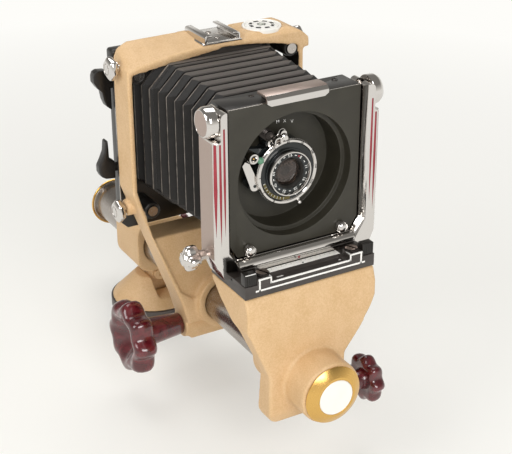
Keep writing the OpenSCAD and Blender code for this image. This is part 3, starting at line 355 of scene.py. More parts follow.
def turned(profile, place=(0, 0, 0), axis="y", steps=72, closed=False):
    """Turns a profile of (radius, distance along the axis) pairs, as a lathe does"""
    shape = bmesh.new()
    points = [shape.verts.new((r, 0, along)) for r, along in profile]
    pairs = list(zip(points, points[1:])) + ([(points[-1], points[0])] if closed else [])
    lines = [shape.edges.new(pair) for pair in pairs]
    bmesh.ops.spin(shape, geom=points + lines, cent=(0, 0, 0), axis=(0, 0, 1), dvec=(0, 0, 0),
                   angle=math.tau, steps=steps, use_merge=True, use_duplicate=False)
    bmesh.ops.remove_doubles(shape, verts=shape.verts, dist=0.001)
    bmesh.ops.recalc_face_normals(shape, faces=shape.faces)
    shape.transform(Matrix.Translation(place) @ AXES[axis])
    return shape


def roll_edges(shape, edges, width, segments):
    """Rounds chosen edges"""
    bmesh.ops.bevel(shape, geom=edges, offset=width, segments=segments, profile=0.5,
                    affect="EDGES", clamp_overlap=True, material=-1)


def rounded(shape, width, segments=2, angle=25, shortest=0.0):
    """Rounds the edges that are sharper than an angle and not shorter than a length"""
    sharp = [e for e in shape.edges if e.is_manifold and e.calc_length() >= shortest
             and e.calc_face_angle() > math.radians(angle)]
    if width > 0 and sharp:
        roll_edges(shape, sharp, width, segments)
    return shape


def sawn(outline, low, high, axis="y", round_by=0.0, segments=2):
    """Extrudes an outline. Along y it is drawn in x and z, along x in y and z"""
    shape = bmesh.new()
    places = {"y": lambda a, b: (a, low, b), "x": lambda a, b: (low, a, b),
              "z": lambda a, b: (a, b, low)}
    face = shape.faces.new([shape.verts.new(places[axis](a, b)) for a, b in outline])
    grown = bmesh.ops.extrude_face_region(shape, geom=[face])
    step = {"y": (0, high - low, 0), "x": (high - low, 0, 0), "z": (0, 0, high - low)}[axis]
    bmesh.ops.translate(shape, vec=step,
                        verts=[v for v in grown["geom"] if isinstance(v, bmesh.types.BMVert)])
    bmesh.ops.recalc_face_normals(shape, faces=shape.faces)
    return rounded(shape, round_by, segments)


def bar(low, high, round_by=0.4, segments=2):
    """A block between two corners, with its edges rounded"""
    shape = bmesh.new()
    size = Vector(high) - Vector(low)
    middle = (Vector(high) + Vector(low)) / 2
    bmesh.ops.create_cube(shape, size=1,
                          matrix=Matrix.Translation(middle) @ Matrix.Diagonal((*size, 1)))
    return rounded(shape, round_by, segments)


def solid_copy(node, round_by=0.0, segments=2, angle=25, shortest=0.0):
    """A merged copy of a solid in rail millimetres, with its flat faces made whole"""
    shape = bmesh.new()
    shape.from_mesh(nodes[node].data)
    shape.transform(TO_FRAME.inverted())
    bmesh.ops.remove_doubles(shape, verts=shape.verts, dist=0.01)
    bmesh.ops.dissolve_limit(shape, angle_limit=math.radians(1), verts=shape.verts,
                             edges=shape.edges)
    return rounded(shape, round_by, segments, angle, shortest)


def carved(shape, *cutters):
    """Cuts other shapes out of a shape, as a milling cutter does"""
    blanks = []
    for one in (shape, *cutters):
        mesh = bpy.data.meshes.new("blank")
        one.to_mesh(mesh)
        one.free()
        blanks.append(bpy.data.objects.new("blank", mesh))
        bpy.context.scene.collection.objects.link(blanks[-1])
    for cutter in blanks[1:]:
        cut = blanks[0].modifiers.new("cut", "BOOLEAN")
        cut.object = cutter
        cut.solver = "EXACT"
    bpy.context.view_layer.update()
    result = bmesh.new()
    result.from_object(blanks[0], bpy.context.evaluated_depsgraph_get())
    for blank in blanks:
        bpy.data.objects.remove(blank)
    bmesh.ops.remove_doubles(result, verts=result.verts, dist=0.002)
    return result


def lobed(stations, lobes, place, axis="x", steps=12):
    """Grows a ring outward whose radius swells in lobes. A station is radius, swell, along"""
    shape = bmesh.new()
    first = stations[0][0]
    bmesh.ops.create_circle(shape, cap_ends=True, radius=first, segments=lobes * steps)
    edges = shape.edges[:]
    for number, (radius, swell, along) in enumerate(stations):
        points = shape.verts[:]
        if number:
            grown = bmesh.ops.extrude_edge_only(shape, edges=edges)["geom"]
            points = [v for v in grown if isinstance(v, bmesh.types.BMVert)]
            edges = [e for e in grown if isinstance(e, bmesh.types.BMEdge)
                     and all(v in points for v in e.verts)]
        for point in points:
            angle = math.atan2(point.co.y, point.co.x)
            far = radius + swell * math.cos(lobes * angle)
            point.co = (far * math.cos(angle), far * math.sin(angle), along)
    bmesh.ops.holes_fill(shape, edges=edges, sides=0)
    bmesh.ops.recalc_face_normals(shape, faces=shape.faces)
    shape.transform(Matrix.Translation(place) @ AXES[axis])
    return shape


def pour(shape, whole):
    """Adds a shape to another one, and uses it up"""
    part = bpy.data.meshes.new("part")
    shape.to_mesh(part)
    shape.free()
    whole.from_mesh(part)
    bpy.data.meshes.remove(part)


def copies(shape, matrices):
    """Several copies of one shape, each moved by a matrix, as one shape"""
    whole = bmesh.new()
    for matrix in matrices:
        part = shape.copy()
        part.transform(matrix)
        pour(part, whole)
    shape.free()
    bmesh.ops.recalc_face_normals(whole, faces=whole.faces)
    return whole


def lettering(text, size, matrix, depth=0.08):
    """Generic figures as flat raised shapes, drawn in x and y and moved by a matrix"""
    curve = bpy.data.curves.new("figures", "FONT")
    curve.body = text
    curve.size = size
    curve.extrude = depth / 2
    curve.align_x = "CENTER"
    curve.align_y = "CENTER"
    curve.resolution_u = 2
    holder = bpy.data.objects.new("figures", curve)
    bpy.context.scene.collection.objects.link(holder)
    mesh = bpy.data.meshes.new_from_object(holder)
    bpy.data.objects.remove(holder)
    bpy.data.curves.remove(curve)
    shape = bmesh.new()
    shape.from_mesh(mesh)
    bpy.data.meshes.remove(mesh)
    shape.transform(matrix)
    return shape


def split_paint(shape, wanted):
    """Takes the faces that pass a test out of a shape, as a second shape"""
    other = shape.copy()
    bmesh.ops.delete(other, geom=[f for f in other.faces if not wanted(f)], context="FACES")
    bmesh.ops.delete(shape, geom=[f for f in shape.faces if wanted(f)], context="FACES")
    return other


def piece(name, body, parts, replaces=(), angle=32):
    """Gathers shapes and their materials into one object that moves with a body"""
    mesh = bpy.data.meshes.new(name)
    whole = bmesh.new()
    paints = []
    for shape, material in parts:
        if material not in paints:
            paints.append(material)
            mesh.materials.append(material)
        for face in shape.faces:
            face.smooth = True
            face.material_index = paints.index(material)
        pour(shape, whole)
    bmesh.ops.remove_doubles(whole, verts=whole.verts, dist=0.0005)
    whole.transform(TO_FRAME)
    whole.to_mesh(mesh)
    whole.free()
    mesh.set_sharp_from_angle(angle=math.radians(angle))
    obj = bpy.data.objects.new(name, mesh)
    bpy.context.scene.collection.objects.link(obj)
    if body:
        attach(obj, body)
    if replaces:
        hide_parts(*replaces)
    return obj


print("lathe, saw, block, copy, cutter and lettering are ready")

# %% [markdown]
# ## Castings
# A sand casting has no sharp edges: its corners are drawn round so that the metal fills
# the mould and the pattern leaves it. The solids have true edges. A bevel would stumble
# over their bores, so each casting is a merged copy of its solid, remeshed in small cubes
# and then relaxed, which rounds all edges and inner corners alike. The remesh also joins
# the rear arch and its hood, which rises towards the back, into one skin. The ring's inner
# faces, back from its front edge, are given black enamel.


# %% Castings
def cast_copy(name, node, body, material, cell_mm, rounds, added=(), inside=None):
    """A copy of a solid whose edges are rounded as a casting's are"""
    mesh = nodes[node].data.copy()
    mesh.name = name
    shape = bmesh.new()
    shape.from_mesh(mesh)
    bmesh.ops.remove_doubles(shape, verts=shape.verts, dist=0.00001)
    for extra in added:
        extra.transform(TO_FRAME)
        pour(extra, shape)
    shape.to_mesh(mesh)
    shape.free()
    obj = bpy.data.objects.new(name, mesh)
    bpy.context.scene.collection.objects.link(obj)
    remesh = obj.modifiers.new("cubes", "REMESH")
    remesh.mode = "VOXEL"
    remesh.voxel_size = cell_mm / 1000
    bpy.context.view_layer.update()
    evaluated = obj.evaluated_get(bpy.context.evaluated_depsgraph_get())
    result = bpy.data.meshes.new_from_object(evaluated)
    obj.modifiers.clear()
    shape = bmesh.new()
    shape.from_mesh(result)
    for _ in range(rounds):
        bmesh.ops.smooth_vert(shape, verts=shape.verts, factor=0.5, use_axis_x=True,
                              use_axis_y=True, use_axis_z=True)
    shape.normal_update()
    for face in shape.faces:
        face.smooth = True
        if inside and inside(TO_FRAME.inverted() @ face.calc_center_median(), face.normal):
            face.material_index = 1
    result.materials.clear()
    result.materials.append(material)
    if inside:
        result.materials.append(black_enamel)
    shape.to_mesh(result)
    faces = len(shape.faces)
    shape.free()
    obj.data = result
    result.name = name
    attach(obj, body)
    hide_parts(node)
    print(name, "has", faces, "faces")


cast_copy("front_standard_casting", "front_casting", "front_carriage", sand_enamel, 1.2, 9)
ARCH_TOP, ARCH_R, REAR_HALF = 265.3, 364, 92


def arch_height(x):
    """Height of the arch's outer line over a place across it"""
    return ARCH_TOP - ARCH_R + math.sqrt(ARCH_R ** 2 - x * x)


def inside_of_ring(place, normal):
    """True on the ring's inner faces, which are given black enamel"""
    side = REAR_HALF if place.z > 133 else 46 + (place.z - 6) * 46 / 127
    if place.z < 84 or normal.y > 0.7 or abs(place.x) > side - 3.6:
        return False
    return place.z < arch_height(place.x) - 3.8 and place.y > (139 if place.z > 96 else 140.4)


crown = [(x, arch_height(x) - 0.2) for x in (-88, -82, -74, -60, -40, -20, 0)]
hood = sawn([(-91.5, 250), (-91.3, 252.6), *crown, (2, 259), (-84, 249)], 138.2, 180.2)
LIFTS = {-91.5: 0, -91.3: 3, -88: 9, -82: 11, -74: 11, -60: 9, -40: 6.4, -20: 4.9, 0: 4.4}
for point in hood.verts:
    if point.co.y > 170 and point.co.z > 252 and point.co.x < 1:
        nearest = min(LIFTS, key=lambda x: abs(x - point.co.x))
        point.co.z += LIFTS[nearest]
    if point.co.y > 170 and point.co.x < -80:
        point.co.x += 4.5
cast_copy("rear_standard_casting", "rear_casting", "rear_carriage", sand_enamel, 1.25, 4,
          added=[hood], inside=inside_of_ring)
cast_copy("rail_clamp_casting", "rail_clamp", "clamp", sand_enamel, 1.0, 4)
cast_copy("tilt_fork_casting", "tilt_fork", "head", sand_enamel, 1.2, 4)
cast_copy("gimbal_casting", "gimbal_block", "gimbal", sand_enamel, 0.8, 3)

# %% [markdown]
# ## The bellows
# The bellows is folded from one tube of leathercloth over card stiffeners. Above and below
# they make each crest a flat strip with a narrow valley beside it, and at the sides, where
# the strips taper, the folds are sharp. Cloth simulation would lose the crisp folds, so
# rings are extruded one after the other and each is set to the pleat's width at its place.
# Seven joints lie between its two ends, and a piece can bend across one joint only, so the
# tube is made in seven sections that share their end rings.

# %% Bellows sections
FOLDS = 11
BELLOWS_Y0, BELLOWS_Y1 = 30.2, 181.8
BOARD_MID = 186.7
FOLD = (BELLOWS_Y1 - BELLOWS_Y0) / FOLDS
PLACES = (0, 0.08, 0.17, 0.24, 0.44, 0.46, 0.54, 0.56, 0.76, 0.83, 0.92)
TOP_DEPTHS = (8, 8, 1.4, 0.6, 0, 0, 0, 0, 0.2, 1, 8)
SIDE_DEPTHS = (9, 8.4, 7.1, 5.7, 0.6, 0, 0, 0.6, 5.7, 7.1, 8.4)


def depth_at(y, depths):
    """How deep the skin lies under the crests at a place along the bellows"""
    part = (y - BELLOWS_Y0) / FOLD % 1
    stops = [*zip(PLACES, depths), (1, depths[0])]
    for (a, low), (b, high) in zip(stops, stops[1:]):
        if a <= part <= b:
            return low + (high - low) * (part - a) / (b - a)
    return depths[0]


def pleat(y):
    """Half width, half height and corner cut of the bellows at a place along it"""
    t = (y - BELLOWS_Y0) / (BELLOWS_Y1 - BELLOWS_Y0)
    from_top, from_side = depth_at(y, TOP_DEPTHS), depth_at(y, SIDE_DEPTHS)
    return 62 + 15 * t - from_side, 65 + 4.5 * t - from_top, 14 + 8 * t - 0.3 * from_side


def place_ring(ring, y):
    """Sets eight points to the bellows' outline at a place"""
    half_x, half_z, cut = pleat(y)
    corners = [(half_x, half_z - cut), (half_x - cut, half_z), (cut - half_x, half_z),
               (-half_x, half_z - cut), (-half_x, cut - half_z), (cut - half_x, -half_z),
               (half_x - cut, -half_z), (half_x, cut - half_z)]
    for point, (x, z) in zip(ring, corners):
        point.co = (x, y, BOARD_MID + z)


def on_side_crest(face):
    """True on the narrow crests at the sides and corners, which get a pale painted highlight"""
    middle = face.calc_center_median()
    half_x, half_z, cut = pleat(middle.y)
    part = (middle.y - BELLOWS_Y0) / FOLD % 1
    return 0.455 < part < 0.545 and abs(middle.x) > half_x - cut


def bellows_section(name, start, end):
    shape = bmesh.new()
    ring = [shape.verts.new((0, 0, 0)) for _ in range(8)]
    edges = [shape.edges.new((ring[i], ring[(i + 1) % 8])) for i in range(8)]
    folds = [BELLOWS_Y0 + (i + part) * FOLD for i in range(FOLDS) for part in PLACES]
    stops = [start] + [y for y in folds if start + 0.3 < y < end - 0.3] + [end]
    place_ring(ring, stops[0])
    for y in stops[1:]:
        grown = bmesh.ops.extrude_edge_only(shape, edges=edges)["geom"]
        new_points = [v for v in grown if isinstance(v, bmesh.types.BMVert)]
        edges = [e for e in grown if isinstance(e, bmesh.types.BMEdge)]
        place_ring(new_points, y)
    bmesh.ops.recalc_face_normals(shape, faces=shape.faces)
    bmesh.ops.solidify(shape, geom=shape.faces[:], thickness=0.8)
    # The side crests are split off for the pale cloth, a painted highlight.
    highlit = split_paint(shape, on_side_crest)
    section = piece(name, None, [(shape, leathercloth), (highlit, ridge_highlight_cloth)], ["bellows"],
                    20)
    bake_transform(section)


STOPS = [BELLOWS_Y0, 48.2, 54.2, 64.2, 82.2, 132, 170, BELLOWS_Y1]
for i in range(7):
    bellows_section(f"bellows_section_{i + 1}", STOPS[i], STOPS[i + 1])
print("bellows of", FOLDS, "folds, each", round(FOLD, 1), "mm long")

# %% [markdown]
# ## The U frame
# The frame is a brass casting, filed, polished and chromed. Three tapered flutes down the
# front of each arm are filled with red enamel. The solid has the planes already, so a
# merged copy is rounded at its edges, and the flutes are cut into it as a milling cutter
# would cut them. A thin red leaf then lies on each flute's floor. Under the board the bar
# is drawn with a rounded nose over its slope, because a flat slope mirrors one flat grey
# and the real one shades from dark to bright.

# %% U frame
U_FRONT, NOSE_HALF = -7, 59
SEAT_Z = 233.2
CHAMFER_TURN = math.degrees(math.atan2(3, 3.5))


def leaf(half, top, middle, bottom, low, high, shrink=0.0):
    """A long leaf, square at its top and pointed at its foot"""
    half = half - shrink
    return sawn([(-half * 0.72, top - shrink), (-half, middle), (-half * 0.6, bottom + 22),
                 (0, bottom + shrink), (half * 0.6, bottom + 22), (half, middle),
                 (half * 0.72, top - shrink)], low, high)


def flute_places():
    """Where each flute lies, with its half width and the heights of top, widest place and foot"""
    for side in (-1, 1):
        yield Matrix.Translation((side * 72.7, U_FRONT, 0)), (1.15, 244.5, 196, 147)
        yield Matrix.Translation((side * 76.6, U_FRONT, 0)), (1.25, 231.6, 186, 138.5)
        corner = Matrix.Translation((side * 80.5, U_FRONT + 1.75, 0))
        yield corner @ spun(side * CHAMFER_TURN, "Z"), (1.7, 231.6, 190, 147)


def long_edges(shape, wanted, angle):
    """Edges over 4 mm long whose ends both pass a test, and sharper than an angle"""
    return [e for e in shape.edges if e.is_manifold and e.calc_length() > 4
            and all(wanted(v.co) for v in e.verts) and e.calc_face_angle() > angle]


frame_shape = solid_copy("u_frame")
inner = long_edges(frame_shape, lambda place: abs(place.y) < 0.02, 0.2)
roll_edges(frame_shape, inner, 5, 6)
seat = long_edges(frame_shape, lambda place: abs(place.z - SEAT_Z) < 0.3, 0.5)
roll_edges(frame_shape, seat, 3, 2)
print("rolled edges:", len(inner), "seat edges:", len(seat))
rounded(frame_shape, 0.8, 3, 26, 4.0)
cutters, fillings = [], []
for place, (half, top, middle, bottom) in flute_places():
    cutter = leaf(half, top, middle, bottom, -2, 0.55)
    cutter.transform(place)
    cutters.append(cutter)
    filling = leaf(half, top, middle, bottom, 0.35, 0.8, 0.05)
    filling.transform(place)
    fillings.append((filling, red_paint))
mark = sawn([(-1.5, 110.9), (0, 108.3), (1.5, 110.9)], U_FRONT - 0.1, U_FRONT + 0.4)
frame_shape = carved(frame_shape, *cutters)
# The outer side faces get the pinkish satin metal: a painted reflection of the grey-pink that the
# chromed sides reflect.
sides = split_paint(frame_shape, lambda f: abs(f.normal.x) > 0.97
                    and abs(f.calc_center_median().x) > 81)
quarter = [math.radians(degrees) for degrees in range(0, 91, 10)]
nose = sawn([(-1 - 5.85 * math.sin(turn), 113 + 6.1 * math.cos(turn)) for turn in quarter]
            + [(-6.85, 111.2), (-1, 111.2)], -NOSE_HALF, NOSE_HALF, axis="x")
piece("u_frame_dressed", "shift_stage", [(frame_shape, chrome), (sides, pinkish_satin), *fillings,
      (nose, chrome), (mark, red_paint)], ["u_frame"], 24)
print("U frame with", len(fillings), "red flutes")

# %% [markdown]
# ## Tilt knobs and the rise knob
# The tilt knobs are turned brass discs, chromed, with a wide chamfer and a satin face.
# The rise knob is a four-lobed star with a dished end. Turned shapes come off the lathe
# helper, lobed ones grow ring by ring, so the lobes fade towards the hub.

# %% Knobs of the front standard
TILT_Z = 247
KNOB_IN = 75.8
for side, word in SIDES:
    turn = Matrix.Identity(4) if side > 0 else spun(180, "Z")
    rim = turned([(0, 0), (13, 0), (13.5, 0.5), (13.5, 6.6), (13.2, 7.6), (11.6, 10.2),
                  (11.2, 10.4), (10.9, 10.4), (10.7, 10.15), (0, 10.15)], axis="x")
    face = turned([(0, 10.0), (10.7, 10.0), (10.7, 10.25), (0, 10.45)], axis="x")
    stem = turned([(0, -15.8), (3, -15.8), (3, 0.5), (0, 0.5)], axis="x", steps=32)
    parts = []
    for shape, metal in ((rim, chrome), (face, pinkish_satin), (stem, satin_chrome)):
        shape.transform(Matrix.Translation((side * KNOB_IN, 8, TILT_Z)) @ turn)
        parts.append((shape, metal))
    piece(f"{word}_tilt_knob_turned", f"{word}_tilt_lock", parts, [f"{word}_tilt_knob"])

RISE_Y, RISE_Z = 14.42, 124
star = lobed([(2, 0, -2.6), (4.5, 0.2, -2.8), (5.6, 0.5, -1.2), (7.6, 1.3, -0.2), (9, 1.9, 0.8),
              (9.8, 2.1, 3), (9.8, 2.1, 8.5), (9.1, 1.8, 10.6), (7.6, 1.2, 11.8), (6, 0.4, 12.8),
              (5, 0.1, 16), (4.6, 0, 19.8), (2.4, 0, 19.8)], 4, (-101.2, RISE_Y, RISE_Z))
pinion = solid_copy("rise_knob")
bmesh.ops.delete(pinion, geom=[v for v in pinion.verts if v.co.x < -84], context="VERTS")
bmesh.ops.holes_fill(pinion, edges=pinion.edges, sides=0)
piece("rise_knob_turned", "rise_drive", [(star, chrome), (pinion, satin_chrome)], ["rise_knob"])
print("three knobs on the front standard")

# %% [markdown]
# ## The lens board
# The board is an aluminium plate with a spun well, enamelled matt black. Its edges were
# dressed after the enamel and show bright metal, which draws the thin light line along
# the top in the photograph. The faces of the plate's edge are therefore given to a second
# material, picked by where they point.

# %% Lens board
LENS_Z = 184


def on_plate_edge(face):
    middle = face.calc_center_median()
    far = math.hypot(middle.x, middle.z - BOARD_MID)
    return middle.y < 2.8 and far > 61 and abs(face.normal.y) < 0.5


board = solid_copy("lens_board", 0.5, 3, 40, 0.5)
plate_edge = split_paint(board, on_plate_edge)
piece("lens_board_dressed", "lens_stage", [(board, board_enamel), (plate_edge, satin_chrome)],
      ["lens_board"], 30)
marks = []
for text, x in (("M", 1.5), ("X", 8.5), ("V", 16)):
    place = Matrix.Translation((x, 32.9, LENS_Z + 40 - abs(x - 4) * 0.25))
    marks.append((lettering(text, 4.2, place @ spun(90, "X")), white_paint))
piece("flash_setting_marks", "lens_stage", marks)
print("lens board with bright edges")

# %% [markdown]
# ## The shutter and its lens
# A between-lens shutter is a stack of turned brass rings, chromed or blackened, round a
# barrel with the glass. Each ring is one profile on the lathe, so its steps, bevels and
# edges are all in that profile. The figures are plain speeds and stops.

# %% Rings of the shutter
LENS = (0, 0, LENS_Z)
FACE_ON = spun(90, "X")


def lens_turn(degrees):
    """A matrix that puts a shape on the lens axis and turns it about that"""
    return Matrix.Translation(LENS) @ spun(degrees, "Y")


def round_lens(r, degrees, y):
    """A matrix that stands a figure on a circle round the lens, seen from the front"""
    return (Matrix.Translation((0, y, LENS_Z)) @ spun(degrees, "Y")
            @ Matrix.Translation((0, 0, r)) @ FACE_ON)


ring = turned([(26.6, 13.2), (27.4, 12.5), (29.2, 12.4), (30, 13.1), (30, 14.0), (29.6, 14.3),
               (30, 14.6), (30, 15.7), (29.5, 15.9), (22, 15.9), (22, 13.6), (26.6, 13.6)],
              LENS, closed=True, steps=120)
dark_face = turned([(22, 13.2), (22, 14.5), (26.5, 14.5), (26.7, 13.3)], LENS, closed=True)
grips = copies(bar((-0.35, 14.7, 29.6), (0.35, 15.7, 30.3), 0.1),
               [lens_turn(4 * i) for i in range(90)])
speeds = []
for i, figure in enumerate(("B", "1", "2", "5", "10", "25", "50", "100", "250", "500")):
    speeds.append((lettering(figure, 3.0, round_lens(28.3, -150 + 30 * i, 12.3)), black_enamel))
piece("speed_ring_turned", "speeds", [(ring, chrome), (dark_face, black_gloss), (grips, chrome),
      *speeds], ["speed_ring"])

barrel = turned([(14.45, 26), (14.45, 12.4), (20.4, 12.4), (20.6, 12.0), (20.6, 9.0), (20.0, 8.2),
                 (19.2, 8.2), (19.0, 8.9)], LENS)
bezel = turned([(18.6, 9.4), (18.9, 8.3), (19.3, 7.2), (20.2, 7.2), (20.8, 7.9), (20.8, 9.6)], LENS,
               closed=True)
name_ring = turned([(19.0, 8.9), (18.5, 9.5), (14.6, 9.5), (14.3, 9.8)], LENS)
steps = [(14.3, 9.8)]
for i in range(3):
    steps += [(14.1 - 0.45 * i, 10.2 + i * 0.8), (13.8 - 0.45 * i, 10.3 + i * 0.8)]
steps += [(12.6, 13.2), (12.2, 14.4), (12.2, 26), (14.45, 26)]
cone = turned(steps, LENS)
stops = []
for i, figure in enumerate(("5.6", "8", "11", "16", "22", "32", "45", "64", "90")):
    stops.append((lettering(figure, 3.7, round_lens(16.6, 40 * i, 9.4), 0.12), white_paint))
    dash = bar((-0.9, 9.3, 16.3), (0.9, 9.5, 16.9), 0)
    dash.transform(lens_turn(40 * i + 20))
    stops.append((dash, white_paint))
piece("front_cell_turned", "lens_stage", [(barrel, black_enamel), (bezel, chrome),
      (name_ring, black_gloss), (cone, well_enamel), *stops], ["front_cell"])

stops_dot = turned([(0, 9.2), (0.9, 9.25), (0.9, 9.5), (0, 9.5)], (8.8, 0, LENS_Z + 14.3), steps=24)
piece("front_cell_dot", "lens_stage", [(stops_dot, red_paint)])
front_lens = turned([(0, 11.6), (4, 11.8), (8, 12.6), (12.1, 14.2), (12.1, 17.5), (0, 18.4)], LENS)
rear_lens = solid_copy("lens_glass")
bmesh.ops.delete(rear_lens, geom=[v for v in rear_lens.verts if v.co.y < 25], context="VERTS")
piece("lens_elements", "lens_stage", [(front_lens, lens_glass), (rear_lens, lens_glass)],
      ["lens_glass"])
iris = []
for i in range(8):
    blade = sawn([(2.2, 3.4), (9, -1.5), (10.2, 3), (6.5, 8.5), (1.5, 9.8)], 19.6, 19.9)
    blade.transform(Matrix.Translation((0, i * 0.02, LENS_Z)) @ spun(45 * i, "Y"))
    iris.append((blade, dark_steel))
piece("iris_blades", "lens_stage", iris)
print("shutter rings, barrel, glass and iris")

# %% Levers and posts of the shutter
case = solid_copy("shutter_case", 0.4, 2, 40, 0.6)
arc = turned([(23.2, 12.9), (23.2, 13.3), (25.8, 13.3), (25.8, 12.9)], LENS, closed=True)
bmesh.ops.delete(arc, geom=[f for f in arc.faces if not 195 < math.degrees(math.atan2(
    f.calc_center_median().z - LENS_Z, f.calc_center_median().x)) % 360 < 275], context="FACES")
bmesh.ops.holes_fill(arc, edges=arc.edges, sides=0)
lines_on_arc = []
for i in range(9):
    notch = bar((-0.15, 12.8, 23.4), (0.15, 12.95, 25.6), 0)
    notch.transform(lens_turn(190 + 8 * i))
    lines_on_arc.append((notch, white_paint))
piece("stop_scale_window", "speeds", [(arc, olive_brass), *lines_on_arc])
piece("shutter_case_dressed", "lens_stage", [(case, black_gloss)], ["shutter_case"], 30)
for node, body in (("cocking_lever", "cocking"), ("release_lever", "release")):
    piece(f"{node}_dressed", body, [(solid_copy(node, 0.3, 2, 40), chrome)], [node], 30)
arm = solid_copy("aperture_lever", 0.25, 2, 45, 1.0)
piece("aperture_lever_dressed", "aperture", [(arm, chrome)], ["aperture_lever"], 30)
FLASH, CABLE = (-35.6, 0, LENS_Z + 20.6), (-17.5, 0, LENS_Z + 36.5)
flash_ring = turned([(2.6, 10), (3.0, 9.2), (4.4, 9.2), (4.9, 10), (4.9, 16), (4.6, 26), (2.2, 26),
                     (2.2, 10.5)], FLASH, closed=True, steps=40)
flash_core = turned([(0, 10.8), (2.5, 10.8), (2.5, 12), (0, 12)], FLASH,
                    steps=32)
flash_pin = turned([(0, 9.6), (0.7, 9.9), (0.7, 11), (0, 11)], FLASH, steps=16)
green_knob = turned([(0, 10.6), (1.8, 10.8), (2.9, 11.7), (3.2, 13), (2.4, 14.5), (2.2, 18),
                     (0, 18)], (-27.4, 0, LENS_Z + 16.3), steps=32)
cable_ring = turned([(2.2, 9.6), (2.8, 8.9), (3.9, 8.9), (4.3, 9.8), (4.3, 13), (3.4, 14),
                     (3.4, 24), (2.2, 24)], (-11.5, 0, LENS_Z + 31.5), closed=True, steps=40)
thread = copies(turned([(4.2, 0), (5.1, 0.45), (4.2, 0.9)], (0, 0, 0), steps=36, closed=True),
                [Matrix.Translation((-17.5, 15 + 1.6 * i, LENS_Z + 36.5)) for i in range(6)])
cable_barrel = turned([(0, 14), (3.6, 14), (4.4, 14.8), (4.4, 26), (0, 26)],
                      CABLE, steps=40)
white_post = turned([(0, 9.8), (2.2, 10), (3.5, 11), (3.7, 12.6), (3, 14), (2, 15), (2, 22),
                     (0, 22)], (-3.9, 0, LENS_Z + 33.2), steps=36)
piece("posts_and_sockets", "lens_stage", [(flash_ring, chrome), (flash_core, well_enamel),
      (flash_pin, lacquered_brass), (green_knob, green_enamel), (cable_ring, chrome),
      (thread, dark_steel), (cable_barrel, dark_steel), (white_post, chrome)],
      ["shutter_sockets"])
print("levers, posts and sockets")

# %% [markdown]
# ## The swing table
# The plate under the U frame is milled from brass and stoved black. White paint is rubbed
# into engraved lines on its front, a white ruler lies in front of the frame, and two
# capstan screws with milled edges lock it. Paint lines are thin bars that stand proud by
# about a tenth of a millimetre, because sunk paint would not show at this size.

# %% Swing table
EAR_TOP = 111.1
PLATE_TOP = 106.1
# Each painted line at a step of the plate: nearer and farther X, then Y and Z of its corners
STEP_LINES = ((51, 52.6, -28.14, -27.8, 99.6, EAR_TOP),
              (40.2, 53, -28.1, -27.8, EAR_TOP - 1.3, EAR_TOP),
              (40.2, 53, -28, -27.2, EAR_TOP - 0.3, EAR_TOP + 0.1),
              (39.9, 41.3, -28.14, -27.8, 104.7, EAR_TOP),
              (39.9, 41.3, -28, -21, EAR_TOP - 0.3, EAR_TOP + 0.1))
table = solid_copy("swing_plate", 0.4, 2, 40, 2.0)
ears = [bar((side * 47.2 - 6.9, -27.9, PLATE_TOP - 1), (side * 47.2 + 6.9, -14.5, EAR_TOP), 0.6)
        for side in (-1, 1)]
lines = [bar((-55.8, -28.14, 99.6), (56, -27.9, 101.2), 0),
         bar((-40.6, -28.14, 104.7), (40.6, -27.9, 106.15), 0),
         bar((-40.6, -28.1, 105.9), (40.6, -27.3, 106.2), 0)]
for side in (-1, 1):
    for near, far, y0, y1, z0, z1 in STEP_LINES:
        low_x, high_x = sorted((side * near, side * far))
        lines.append(bar((low_x, y0, z0), (high_x, y1, z1), 0))
lines.append(bar((-30.5, -20.6, 104.0), (-24, -19.4, 104.25), 0))
lines.append(bar((33.2, -20.6, 104.0), (35.4, -19.4, 104.25), 0))
ruler = bar((-37.8, -15.2, 106.9), (37.8, -8.1, 107.62), 0.2)
ticks = [bar((x * 5 - 0.09, -10.4 if x % 2 else -11.2, 107.6), (x * 5 + 0.09, -8.6, 107.64), 0)
         for x in range(-7, 8)]
dot = turned([(0, 0), (0.9, 0), (0.9, 0.1), (0, 0.1)], (0, -13.6, 107.6), "z", 20)
channel = bar((-35.9, -26.4, 103.9), (35.9, -15.6, 104.08), 0)
piece("swing_table_dressed", "swing_table",
      [(table, plate_enamel), (channel, black_enamel), *((e, plate_enamel) for e in ears),
       *((line, white_paint) for line in lines), (ruler, white_enamel),
       *((t, black_enamel) for t in ticks), (dot, black_enamel)], ["swing_plate"], 30)
BLOCK_X = 59.75
blocks = []
for side in (-1, 1):
    shape = bar((side * BLOCK_X - 5.75, -27, PLATE_TOP), (side * BLOCK_X + 5.75, -19, 117.1), 0.7, 3)
    grooves = [bar((side * BLOCK_X + x - 0.3, -27.4, 107.5), (side * BLOCK_X + x + 0.3, -26.6, 116), 0)
               for x in (-3.6, -1.8, 0, 1.8, 3.6)]
    blocks.append((carved(shape, *grooves), black_enamel))
    # On the left block a thin white strip along the top front edge is a painted highlight.
    if side < 0:
        blocks.append((bar((-65, -26.9, 116.7), (-54.8, -26.1, 117.16), 0), white_paint))
piece("end_blocks_dressed", "swing_table", blocks, ["end_blocks"])
SCREW_X, SCREW_Y = 45.5, -21.3
